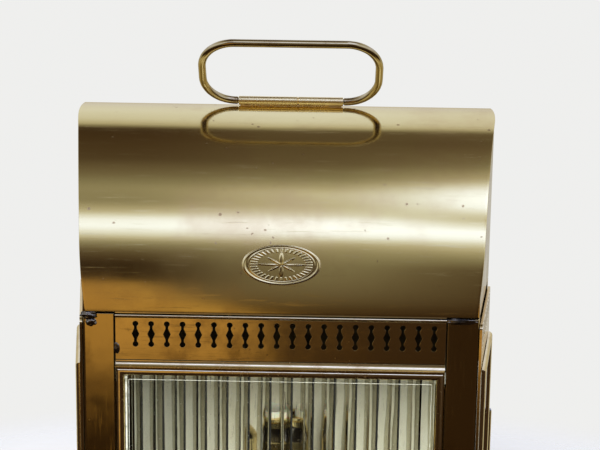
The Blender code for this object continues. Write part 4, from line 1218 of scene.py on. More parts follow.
@dataclass
class RingHandle:
    """Carrying ring with its hinge sleeve on the crest."""

    wide: float = 88.0 * MM
    tall: float = 41.0 * MM
    rod: float = 1.95 * MM
    neck: float = 1.4 * MM
    lean: float = 40.0
    sleeve_length: float = 53.0 * MM
    sleeve_radius: float = 2.2 * MM

    @property
    def pivot(self) -> Vector:
        """Middle of the sleeve."""
        low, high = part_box("handle_sleeve")
        return (low + high) / 2

    def ring(self) -> bpy.types.Object:
        """Long ring of round rod, its lower bar turned down inside the sleeve."""
        neck = self.sleeve_length / 2 + 0.6 * MM
        bend = min(self.tall / 2, self.wide / 2 - neck - 0.4 * MM)
        reach, thin = self.wide / 2 - bend, self.neck / self.rod
        flat = [(-neck, 0.0, 1.0), (-neck + 0.4 * MM, 0.0, thin),
                (neck - 0.4 * MM, 0.0, thin), (neck, 0.0, 1.0)]
        for x, z, first in ((reach, bend, -90), (reach, self.tall - bend, 0),
                            (-reach, self.tall - bend, 90), (-reach, bend, 180)):
            for step in range(25):
                angle = math.radians(first + 90 * step / 24)
                worn = 1.0 - 0.03 * abs(noise.noise(Vector((x * 90, step * 0.4, first))))
                flat.append((x + bend * math.cos(angle), z + bend * math.sin(angle), worn))
        lean = Matrix.Rotation(math.radians(self.lean), 4, "X")
        points = [(self.pivot + lean @ Vector((x, 0.0, z)), share) for x, z, share in flat]
        return piece("ring", rod_mesh(points, self.rod, True), SHADED_RING_BRASS, "handle_ring", 50.0)

    def sleeve(self) -> bpy.types.Object:
        """Hinge tube with one seam groove."""
        half, groove, bore = self.sleeve_length / 2, 3.6 * MM, self.neck + PLAN.gap
        outer, lip = self.sleeve_radius, 0.18 * MM
        profile = [(bore, half), (outer - lip, half), (outer, half - lip),
                   (outer, groove + 0.34 * MM), (outer - 0.32 * MM, groove + 0.1 * MM),
                   (outer - 0.32 * MM, groove - 0.1 * MM), (outer, groove - 0.34 * MM),
                   (outer, lip - half), (outer - lip, -half), (bore, -half)]
        mesh = lathe(profile, axis_place(self.pivot, (1, 0, 0)), 64)
        return piece("sleeve", mesh, LIT_SLEEVE_BRASS, "handle_sleeve")

    def seat(self) -> bpy.types.Object:
        """Run of solder that holds the sleeve on the crest."""
        half, stations = self.sleeve_length / 2 - 0.8 * MM, 60
        foot, pivot = PLAN.crest - 0.15 * MM, self.pivot
        sections = []
        for step in range(stations + 1):
            x = half * (2 * step / stations - 1)
            wide = (1.75 + 0.3 * noise.noise(Vector((x * 300, 0.0, 1.0)))) * MM
            sections.append([(pivot.x + x, pivot.y + dy * wide, z) for dy, z in (
                (-1.0, foot), (-0.62, foot + 0.55 * MM), (-0.25, foot + 0.62 * MM),
                (0.25, foot + 0.62 * MM), (0.62, foot + 0.55 * MM), (1.0, foot))])
        return piece("sleeve_seat", bar(sections, "sleeve_seat"), LIT_SLEEVE_BRASS)

    def build(self) -> None:
        """Make the handle."""
        self.ring()
        self.sleeve()
        self.seat()


# ---- front --------------------------------------------------------------------------------
@dataclass
class Frieze:
    """Row of lozenge and keyhole piercings, shared by the front and the sides."""

    pitch: float = 7.39 * MM
    tall: float = 12.5 * MM
    hole: float = 1.3 * MM
    slit: float = 0.6 * MM
    lozenge_wide: float = 1.75 * MM
    lozenge_tall: float = 3.8 * MM

    def outline(self) -> list[Pair]:
        """Outline of one piercing about its middle."""
        half, neck = self.tall / 2, math.asin(self.slit / self.hole)
        points: list[Pair] = []
        for sign in (1, -1):
            middle = sign * (half - self.hole)
            start = -math.pi / 2 + neck if sign > 0 else math.pi / 2 + neck
            sweep = math.tau - 2 * neck
            for step in range(21):
                angle = start + sweep * step / 20
                points.append((self.hole * math.cos(angle),
                               middle + self.hole * math.sin(angle)))
            join = self.lozenge_tall * (1 - self.slit / self.lozenge_wide)
            points += [(-sign * self.slit, sign * join), (-sign * self.lozenge_wide, 0.0),
                       (-sign * self.slit, -sign * join)]
        return points

    def spots(self, middle: float, count: int) -> list[Pair]:
        """Middles of a row of piercings."""
        first = middle - self.pitch * (count - 1) / 2
        return [(first + self.pitch * i, PLAN.pierce_mid) for i in range(count)]


@dataclass
class Front:
    """Frieze, mouldings, fluted pane, rail and the two front posts."""

    frieze: Frieze
    count: int = 20
    offset: float = 2.0 * MM
    flutes: int = PLAN.flutes
    pane_inset: float = 1.6 * MM
    arris_wide: float = 0.17 * MM
    ground_proud: float = 0.05 * MM
    flute_deep: float = 1.5 * MM

    def pierced_strip(self) -> bpy.types.Object:
        """Flat pierced strip above the pane."""
        low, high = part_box("front_frieze")
        outline = rectangle(low.x, high.x, low.z, high.z)
        mesh = pierced_sheet([outline], high.y - low.y, self.frieze.outline(),
                             self.frieze.spots(self.offset, self.count), STRIP_BRASS)
        mesh.transform(front_place((low.y + high.y) / 2))
        return piece("frieze_front", mesh, STRIP_BRASS, "front_frieze")

    def mouldings(self) -> None:
        """Cove above the surround and half round bead under the hood lip."""
        low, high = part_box("front_cove")
        face, rise = PLAN.front_wall + 0.2 * MM, high.z - low.z
        profile = [(face - 2.2 * MM, low.z)]
        for step in range(19):
            angle = math.pi / 2 * step / 18
            profile.append((face - 2.2 * MM * (1 - math.sin(angle)),
                            low.z + 0.5 * MM + (rise - 0.5 * MM) * (1 - math.cos(angle))))
        profile += [(face + PLAN.sheet, high.z), (face + PLAN.sheet, low.z)]
        mesh = rounded(strip(high.x, profile), 0.12 * MM, 2, 50.0)
        piece("cove", mesh, BEAD_BRASS, "front_cove")
        low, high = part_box("top_bead")
        tall = high.z - low.z
        profile = [(face - out, low.z + z) for z, out in half_round(tall, 1.5 * MM)]
        profile += [(face + 0.1 * MM, high.z + 0.75 * MM),
                    (face + PLAN.sheet, high.z + 0.75 * MM), (face + PLAN.sheet, low.z)]
        piece("bead_under_lip", strip(high.x, profile), BEAD_BRASS, "top_bead")

    def surround(self) -> bpy.types.Object:
        """Mitred half round moulding round the pane."""
        shape = mitred_frame(-PLAN.face_half, PLAN.face_half, PLAN.sill, PLAN.surround_top,
                             half_round(PLAN.bead_wide, PLAN.bead_proud))
        bmesh.ops.transform(shape, matrix=front_place(PLAN.front_wall + 0.6 * MM),
                            verts=shape.verts)
        return piece("surround_front", to_mesh(shape, "surround_front"), BEAD_BRASS,
                     "front_surround")

    def pane(self) -> bpy.types.Object:
        """Bevelled pane with upright flutes on its inner face."""
        edge = PLAN.pane_half
        low, high = PLAN.sill + self.pane_inset, PLAN.surround_top - self.pane_inset

        def ribbed(share: float) -> float:
            """Depth of the inner face."""
            part = (share * self.flutes) % 1.0
            crown = 1.0 - (2.0 * part / 0.58 - 1.0) ** 2 if part < 0.58 else 0.0
            hollow = math.sin(math.pi * (part - 0.58) / 0.42) if part > 0.58 else 0.0
            return PLAN.pane_thick + self.flute_deep * (
                (0.72 + 0.28 * crown) * min(1.0, part / 0.07) if part < 0.58
                else max(0.0, 0.72 * (1.0 - (part - 0.58) / 0.10)) + 0.22 * (1.0 - hollow)
                * min(1.0, (part - 0.58) / 0.10))

        mesh = pane_mesh(-edge, edge, low, high, PLAN.bevel, 1.0, ribbed,
                         self.flutes * 20)
        mesh.transform(front_place(PLAN.pane_face))
        return piece("fluted_pane", mesh, FLUTED_GLASS, "front_glass",
                     25.0)

    def arris(self) -> bpy.types.Object:
        """Ground line along the inner edge of the bevel."""
        edge, inset = PLAN.pane_half - PLAN.bevel, self.pane_inset + PLAN.bevel
        low, high = PLAN.sill + inset, PLAN.surround_top - inset
        line = [(0.0, 0.0), (0.0, self.ground_proud), (self.arris_wide, self.ground_proud),
                (self.arris_wide, 0.0)]
        shape = mitred_frame(-edge, edge, low, high, line)
        bmesh.ops.transform(shape, verts=shape.verts,
                            matrix=front_place(PLAN.pane_face - 0.02 * MM))
        return piece("pane_arris", to_mesh(shape, "pane_arris"), GROUND_GLASS)

    def ground_edge(self) -> bpy.types.Object:
        """Rough ground edge that shows at the left of the pane."""
        edge = PLAN.face_half - 4.3 * MM
        low, high = PLAN.sill + 5.0 * MM, PLAN.surround_top - 5.0 * MM
        inner, sections = PLAN.pane_face - 0.01 * MM, []
        outer = inner - self.ground_proud
        for step in range(181):
            z = low + (high - low) * step / 180
            wide = (0.75 + 0.45 * noise.noise(Vector((z * 900, 0.0, 2.0)))) * MM
            sections.append([(-edge, inner, z), (-edge + wide, inner, z),
                             (-edge + wide, outer, z), (-edge, outer, z)])
        return piece("pane_ground_edge", bar(sections, "pane_ground_edge"), GROUND_GLASS)

    def rail(self) -> bpy.types.Object:
        """Plain rail below the pane with a row of round air holes."""
        low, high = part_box("front_rail")
        spots = [(11.0 * MM * i, (low.z + high.z) / 2) for i in range(-6, 7)]
        mesh = pierced_sheet([rectangle(low.x, high.x, low.z, high.z)], high.y - low.y,
                             circle(0.0, 0.0, 2.4 * MM), spots, FRAME_BRASS)
        mesh.transform(front_place((low.y + high.y) / 2))
        return piece("rail", mesh, FRAME_BRASS, "front_rail")

    def build(self) -> None:
        """Make the front."""
        self.pierced_strip()
        self.mouldings()
        self.surround()
        self.pane()
        self.arris()
        self.ground_edge()
        self.rail()
        for word in ("left", "right"):
            softened("post_front_" + word, FRAME_BRASS, 0.35 * MM, 3, 25.0)
            softened("post_back_" + word, FRAME_BRASS, 0.3 * MM, 2, 25.0)
            softened("front_retainer_" + word, FRAME_BRASS, 0.12 * MM)


STRIP_BRASS = Metal("strip_brass", (0.72, 0.53, 0.21), (0.42, 0.26, 0.09), 0.5, 0.09,
                    30.0, (60.0, 900.0, 900.0), 0.2, 0.05, (1.0, 0.85, 0.5), 0.9, inner_shade=0.9)


def pane_mesh(x0: float, x1: float, y0: float, y1: float, bevel: float, outward: float,
              depth_at: Callable[[float], float], columns: int) -> bpy.types.Mesh:
    """Pane with a wide bevel on its outer face and any upright relief behind.

    Args:
        x0: left edge.
        x1: right edge.
        y0: lower edge.
        y1: upper edge.
        bevel: width of the bevel.
        outward: direction of the outer face.
        depth_at: depth of the inner face at a share of the width.
        columns: steps across the inner face.

    Returns:
        The mesh, lying in its own plane.
    """
    drop = 0.9 * MM
    shape = bmesh.new()
    outer = [shape.verts.new((x, y, -outward * drop))
             for x, y in ((x0, y0), (x1, y0), (x1, y1), (x0, y1))]
    inner = [shape.verts.new((x, y, 0.0)) for x, y in (
        (x0 + bevel, y0 + bevel), (x1 - bevel, y0 + bevel), (x1 - bevel, y1 - bevel),
        (x0 + bevel, y1 - bevel))]
    low, high = [], []
    for i in range(columns + 1):
        x, z = x0 + (x1 - x0) * i / columns, -outward * depth_at(i / columns)
        low.append(shape.verts.new((x, y0, z)))
        high.append(shape.verts.new((x, y1, z)))
    shape.faces.new(inner)
    for i in range(4):
        j = (i + 1) % 4
        shape.faces.new((outer[i], outer[j], inner[j], inner[i]))
    shape.faces.new((outer[0], outer[3], high[0], low[0]))
    shape.faces.new((outer[1], low[-1], high[-1], outer[2]))
    shape.faces.new([outer[0], *low, outer[1]])
    shape.faces.new([outer[3], outer[2], *reversed(high)])
    for i in range(columns):
        shape.faces.new((low[i], high[i], high[i + 1], low[i + 1]))
    return to_mesh(shape, "pane")


# ---- sides --------------------------------------------------------------------------------
@dataclass
class SidePanel:
    """Leaf with its pierced frieze, surround, pane and retaining strip."""

    side: Side
    prefix: str
    frieze: Frieze
    latch_hole: bool = False
    count: int = 10
    leaf_front: float = 1.0 * MM
    leaf_back: float = PLAN.wall_length - 5.6 * MM
    leaf_in: float = 0.3 * MM
    leaf_out: float = 1.5 * MM
    margin: float = 5.0 * MM
    lap: float = 3.4 * MM

    def leaf(self) -> bpy.types.Object:
        """Flat leaf with its openings."""
        low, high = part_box(self.prefix + "_leaf")
        x0, x1 = self.leaf_front + self.margin, self.leaf_back - self.margin
        loops = [rectangle(self.leaf_front, self.leaf_back, low.z, high.z, 3.0 * MM, True),
                 rectangle(x0 + self.lap, x1 - self.lap, PLAN.sill + self.lap,
                           PLAN.surround_top - self.lap)]
        if self.latch_hole:
            loops.append(circle(PLAN.latch_along, (low.z + PLAN.sill) / 2, 1.6 * MM))
        spots = self.frieze.spots((self.leaf_front + self.leaf_back) / 2, self.count)
        mesh = pierced_sheet(loops, self.leaf_out - self.leaf_in, self.frieze.outline(),
                             spots, STRIP_BRASS)
        mesh.transform(PLAN.side_place(self.side, (self.leaf_out + self.leaf_in) / 2))
        node = self.prefix + "_leaf"
        return piece("pierced_" + node, mesh, STRIP_BRASS, node)

    def surround(self) -> bpy.types.Object:
        """Mitred half round moulding round the pane."""
        profile = [(inwards, self.side.value * out)
                   for inwards, out in half_round(PLAN.bead_wide, PLAN.bead_proud)]
        shape = mitred_frame(self.leaf_front + self.margin, self.leaf_back - self.margin,
                             PLAN.sill, PLAN.surround_top, profile)
        place = PLAN.side_place(self.side, self.leaf_out + PLAN.gap)
        bmesh.ops.transform(shape, matrix=place, verts=shape.verts)
        node = self.prefix + "_surround"
        return piece("fine_" + node, to_mesh(shape, node), BEAD_BRASS, node)

    def pane(self) -> bpy.types.Object:
        """Bevelled pane, plain behind."""
        x0, x1 = self.leaf_front + 7.0 * MM, self.leaf_back - 6.0 * MM
        mesh = pane_mesh(x0, x1, PLAN.sill + 1.0 * MM, PLAN.surround_top - 1.0 * MM,
                         PLAN.bevel, self.side.value, lambda share: PLAN.pane_thick, 1)
        mesh.transform(PLAN.side_place(self.side, self.leaf_in - PLAN.gap))
        node = self.prefix + "_glass"
        return piece("fine_" + node, mesh, CLEAR_GLASS, node,
                     10.0)

    def build(self) -> None:
        """Make the panel."""
        self.leaf()
        self.surround()
        self.pane()
        softened(self.prefix + "_retainer", FRAME_BRASS, 0.12 * MM)


@dataclass
class DoorFittings:
    """Long hinge and turning latch of the door."""

    def build(self) -> None:
        """Make the fittings."""
        for node in ("door_knuckle", "post_knuckle_low", "post_knuckle_high"):
            softened(node, FRAME_BRASS, 0.15 * MM, 2, 40.0, 0.2)
        low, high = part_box("hinge_pin")
        middle, long = (low + high) / 2, high.z - low.z
        pin = [(0.0, long), (0.9 * MM, long), (1.4 * MM, long - 0.15 * MM),
               (1.8 * MM, long - 0.5 * MM), (1.8 * MM, long - 0.9 * MM),
               (1.0 * MM, long - 0.9 * MM), (1.0 * MM, 0.9 * MM), (1.8 * MM, 0.9 * MM),
               (1.8 * MM, 0.5 * MM), (1.4 * MM, 0.15 * MM), (0.9 * MM, 0.0), (0.0, 0.0)]
        piece("pin", lathe(pin, Matrix.Translation((middle.x, middle.y, low.z)), 32),
              STEEL, "hinge_pin")
        self.knob()
        softened("latch_tongue", FRAME_BRASS, 0.2 * MM)

    def knob(self) -> bpy.types.Object:
        """Turned knob with a domed head, a waisted neck and a shank."""
        start, forward, outward = PLAN.side_axes(Side.RIGHT)
        reach = PLAN.plate
        low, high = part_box("latch_knob")
        foot = start + forward * PLAN.latch_along - outward * reach
        foot.z = (low.z + high.z) / 2
        arc = [(4.0 * MM * math.cos(a), reach + 8.1 * MM + 1.9 * MM * math.sin(a))
               for a in [math.radians(90 - 10 * i) for i in range(10)]]
        profile = [(0.0, arc[0][1])] + arc[1:] + [
            (3.7 * MM, reach + 7.2 * MM), (3.2 * MM, reach + 6.3 * MM),
            (2.2 * MM, reach + 5.5 * MM), (1.85 * MM, reach + 4.6 * MM),
            (1.9 * MM, reach + 3.6 * MM), (2.45 * MM, reach + 3.0 * MM),
            (2.6 * MM, reach + 2.7 * MM), (2.6 * MM, reach + 1.8 * MM),
            (1.2 * MM, reach + 1.8 * MM), (1.2 * MM, 0.0), (0.0, 0.0)]
        return piece("knob", lathe(profile, axis_place(foot, outward), 48), BEAD_BRASS,
                     "latch_knob")


# ---- back and foot ------------------------------------------------------------------------
@dataclass
class Back:
    """Back plate, keyhole hanger and its rivets."""

    rivet_reach: float = 21.0 * MM

    @property
    def hang_height(self) -> float:
        """Height of the hanger's middle."""
        low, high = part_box("hanger_plate")
        return (low.z + high.z) / 2

    def build(self) -> None:
        """Make the back."""
        low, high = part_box("back_plate")
        rivets = [(self.rivet_reach * side, self.hang_height) for side in (-1, 1)]
        loops = [rectangle(low.x, high.x, low.z, high.z, 2.0 * MM, True),
                 circle(0.0, self.hang_height, 10.0 * MM, 48)]
        mesh = pierced_sheet(loops, high.y - low.y, circle(0.0, 0.0, 1.9 * MM), rivets,
                             DARK_BRASS, 0.2 * MM)
        mesh.transform(front_place((low.y + high.y) / 2))
        piece("back_sheet", mesh, DARK_BRASS, "back_plate")
        low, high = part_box("hanger_plate")
        keyhole = [(5.0 * MM * math.cos(a), self.hang_height - 3.0 * MM + 5.0 * MM
                    * math.sin(a)) for a in [math.radians(115 + 310 * i / 30)
                                             for i in range(31)]]
        keyhole += [(2.1 * MM * math.cos(a), self.hang_height + 7.0 * MM + 2.1 * MM
                     * math.sin(a)) for a in [math.pi * i / 14 for i in range(15)]]
        loops = [rectangle(low.x, high.x, low.z, high.z, 4.0 * MM), keyhole]
        mesh = pierced_sheet(loops, high.y - low.y, circle(0.0, 0.0, 1.9 * MM), rivets,
                             DARK_BRASS, 0.15 * MM)
        mesh.transform(front_place((low.y + high.y) / 2))
        piece("keyhole_plate", mesh, DARK_BRASS, "hanger_plate")
        self.rivets(rivets)

    def rivets(self, spots: Sequence[Pair]) -> None:
        """Two rivets with domed heads inside the lantern."""
        for (x, z), word in zip(spots, ("left", "right")):
            low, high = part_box("hanger_rivet_" + word)
            length = high.y - low.y
            dome = [(0.0, 0.0)] + [(2.8 * MM * math.sin(a), 1.15 * MM * (1 - math.cos(a)))
                                   for a in [math.radians(15 * i) for i in range(1, 7)]]
            profile = dome + [(2.8 * MM, 1.25 * MM), (1.5 * MM, 1.3 * MM),
                              (1.5 * MM, length - 0.2 * MM), (1.3 * MM, length),
                              (0.0, length)]
            piece("rivet_" + word, lathe(profile, axis_place((x, low.y, z), (0, 1, 0)), 32),
                  BEAD_BRASS, "hanger_rivet_" + word)


@dataclass
class Foot:
    """Moulded base ring and the pierced floor."""

    ring_reach: float = 34.0 * MM

    def build(self) -> None:
        """Make the foot."""
        softened("plinth", DARK_BRASS, 0.7 * MM, 4, 12.0)
        low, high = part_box("floor_plate")
        slope = (PLAN.back_half - PLAN.front_half) / PLAN.depth
        near = high.x - slope * (high.y - low.y)
        outline = [(-near, low.y), (near, low.y), (high.x, high.y), (-high.x, high.y)]
        spots = [(self.ring_reach * math.cos(a), PLAN.tube_y + 0.8 * self.ring_reach
                  * math.sin(a)) for a in [math.radians(30 * i) for i in range(12)]]
        mesh = pierced_sheet([outline], high.z - low.z, circle(0.0, 0.0, 3.0 * MM), spots,
                             DARK_BRASS)
        mesh.transform(Matrix.Translation((0.0, 0.0, (low.z + high.z) / 2)))
        piece("floor_sheet", mesh, DARK_BRASS, "floor_plate")


# ---- inside -------------------------------------------------------------------------------
@dataclass
class Inside:
    """Reflector, smoke shield, candle tube and everything in it."""

    def reflector(self) -> bpy.types.Object:
        """Bowed tin sheet with a fine rolled edge and slight waves."""
        low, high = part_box("reflector")
        half, columns, rows = high.x, 64, 48
        grid = []
        for i in range(columns + 1):
            x = half * (2 * i / columns - 1)
            bow = PLAN.back_wall - 5.0 * MM - 9.0 * MM * (x / half) ** 2
            line = []
            for j in range(rows + 1):
                z = low.z + (high.z - low.z) * j / rows
                wave = 0.12 * MM * noise.noise(Vector((x * 40, 0.0, z * 40)))
                line.append((x, bow + wave, z))
            grid.append(line)
        mesh = thick_sheet(grid, 0.5 * MM, 0.0, 0.12 * MM, 60.0, "reflector_sheet")
        return piece("reflector_sheet", mesh, TIN, "reflector")

    def candle(self) -> None:
        """Candle with a melted top and a burnt wick."""
        low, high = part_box("candle")
        top, shoulder = high.z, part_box("candle_tube")[1].z + 2.6 * MM
        profile = [(0.0, top - 1.9 * MM)]
        profile += [(7.7 * MM * i / 8, top - 1.9 * MM + 1.5 * MM * (i / 8) ** 3)
                    for i in range(1, 8)]
        profile += [(7.9 * MM, top - 0.2 * MM), (8.2 * MM, top - 0.9 * MM),
                    (8.3 * MM, top - 3.0 * MM), (8.3 * MM, shoulder + 3.6 * MM),
                    (10.9 * MM, shoulder), (10.9 * MM, low.z + 0.4 * MM),
                    (10.5 * MM, low.z), (0.0, low.z)]
        place = Matrix.Translation((0.0, PLAN.tube_y, 0.0))
        piece("wax_candle", lathe(profile, place), WAX, "candle", 60.0)
        foot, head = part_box("wick")
        points = []
        for step in range(19):
            share = step / 18
            lean = 0.35 * MM * math.sin(share * 5.0)
            points.append((Vector((lean, PLAN.tube_y + 0.2 * MM * share, foot.z
                                   + (head.z - foot.z) * share)),
                           1.0 - 0.35 * share ** 3 + 0.08 * math.sin(share * 60)))
        piece("burnt_wick", rod_mesh(points, 0.8 * MM, False, 4), COTTON, "wick", 60.0)

    def spring(self) -> bpy.types.Object:
        """Coil spring under the follower."""
        low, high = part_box("tube_spring")
        wire = 0.6 * MM
        mesh = apply_pattern(point_mesh([(0.0, 0.0, 0.0)]), Pattern.coil(), {
            "Turns": 12.0, "Reach": 10.6 * MM, "Height": high.z - low.z - 2 * wire,
            "Wire": wire, "Finish": STEEL.material()})
        mesh.transform(Matrix.Translation((0.0, PLAN.tube_y, low.z + wire)))
        made = piece("coil_spring", mesh, STEEL, "tube_spring", 70.0)
        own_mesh(made)
        return made

    def screws(self) -> None:
        """Slotted screws of the tube flange."""
        for word in ("left", "right"):
            low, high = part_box("flange_screw_" + word)
            middle = (low + high) / 2
            dome = [(0.0, 1.6 * MM)] + [
                (2.4 * MM * math.sin(a), 1.6 * MM * math.cos(a))
                for a in [math.radians(12 * i) for i in range(1, 8)]] + [(2.4 * MM, 0.0),
                                                                        (0.0, 0.0)]
            mesh = lathe(dome, Matrix.Translation((middle.x, middle.y, low.z)), 40)
            slot = linked("slot", flat_sheet([rectangle(-3 * MM, 3 * MM, -0.3 * MM,
                                                        0.3 * MM)], 1.0 * MM))
            slot.data.transform(Matrix.Translation((middle.x, middle.y, high.z))
                                @ Matrix.Rotation(0.6, 4, "Z"))
            holder = linked("screw", mesh)
            cut = holder.modifiers.new("slot", "BOOLEAN")
            cut.operation, cut.solver, cut.object = "DIFFERENCE", "EXACT", slot
            mesh = evaluated(holder)
            bpy.data.objects.remove(slot, do_unlink=True)
            piece("screw_" + word, mesh, STEEL, "flange_screw_" + word)

    def build(self) -> None:
        """Make the inside."""
        self.reflector()
        self.candle()
        self.spring()
        self.screws()
        for node in ("candle_tube", "tube_flange", "wax_pan"):
            softened(node, BEAD_BRASS, 0.12 * MM, 2, 50.0, 0.05)
        softened("candle_cap", BEAD_BRASS, 0.10 * MM, 2, 55.0, 0.05)
        softened("candle_follower", TIN, 0.12 * MM, 2, 50.0, 0.05)
        for word in ("left", "right"):
            softened("reflector_stud_" + word, BEAD_BRASS, 0.1 * MM, 2, 50.0)
            softened("shield_bracket_" + word, FRAME_BRASS, 0.15 * MM)
        softened("smoke_shield", TIN, 0.15 * MM, 2, 25.0)


# ---- solder -------------------------------------------------------------------------------
@dataclass(frozen=True)
class Lump:
    """One lump of solder: where it sits and its half sizes."""

    label: str
    spot: tuple[float, float, float]
    size: tuple[float, float, float]
    seed: float


@dataclass
class Solder:
    """Lumps of solder left at the upper corners of the front."""

    def build(self) -> None:
        """Make every lump."""
        face, top = PLAN.front_wall, PLAN.eaves - 2.0 * MM
        edge = PLAN.front_half
        for lump in (
                Lump("solder_left_corner", (-edge + 3.0 * MM, face - 0.2 * MM, top),
                     (3.9 * MM, 1.8 * MM, 2.0 * MM), 1.0),
                Lump("solder_left_drop", (-edge + 4.0 * MM, face - 0.1 * MM, top - 3.4 * MM),
                     (2.6 * MM, 1.0 * MM, 2.0 * MM), 2.0),
                Lump("solder_right_corner", (edge - 8.5 * MM, face - 0.1 * MM,
                                             top - 0.2 * MM),
                     (7.6 * MM, 0.9 * MM, 1.7 * MM), 3.0),
                Lump("solder_frieze_run", (-PLAN.face_half + 0.6 * MM, face + 0.1 * MM,
                                           PLAN.pierce_mid - 7.0 * MM),
                     (1.3 * MM, 0.6 * MM, 2.6 * MM), 4.0)):
            shape = bmesh.new()
            bmesh.ops.create_icosphere(shape, subdivisions=4, radius=1.0)
            for vert in shape.verts:
                spot = vert.co.normalized()
                swell = 1.0 + 0.30 * noise.noise(spot * 1.7 + Vector((lump.seed,) * 3))
                vert.co = Vector([c * s * swell for c, s in zip(spot, lump.size)])
                vert.co += Vector(lump.spot)
            piece(lump.label, to_mesh(shape, lump.label), SOLDER, smooth=80.0)


# ---- studio -------------------------------------------------------------------------------
@dataclass(frozen=True)
class Band:
    """One level of the studio surround: strength at an angle over the horizon in front."""

    angle: float
    strength: float

    def stop(self, brightest: float) -> tuple[float, Colour]:
        """Its place and grey in a colour ramp from -90 to 180 degrees."""
        return (self.angle + 90.0) / 270.0, (self.strength / brightest,) * 3


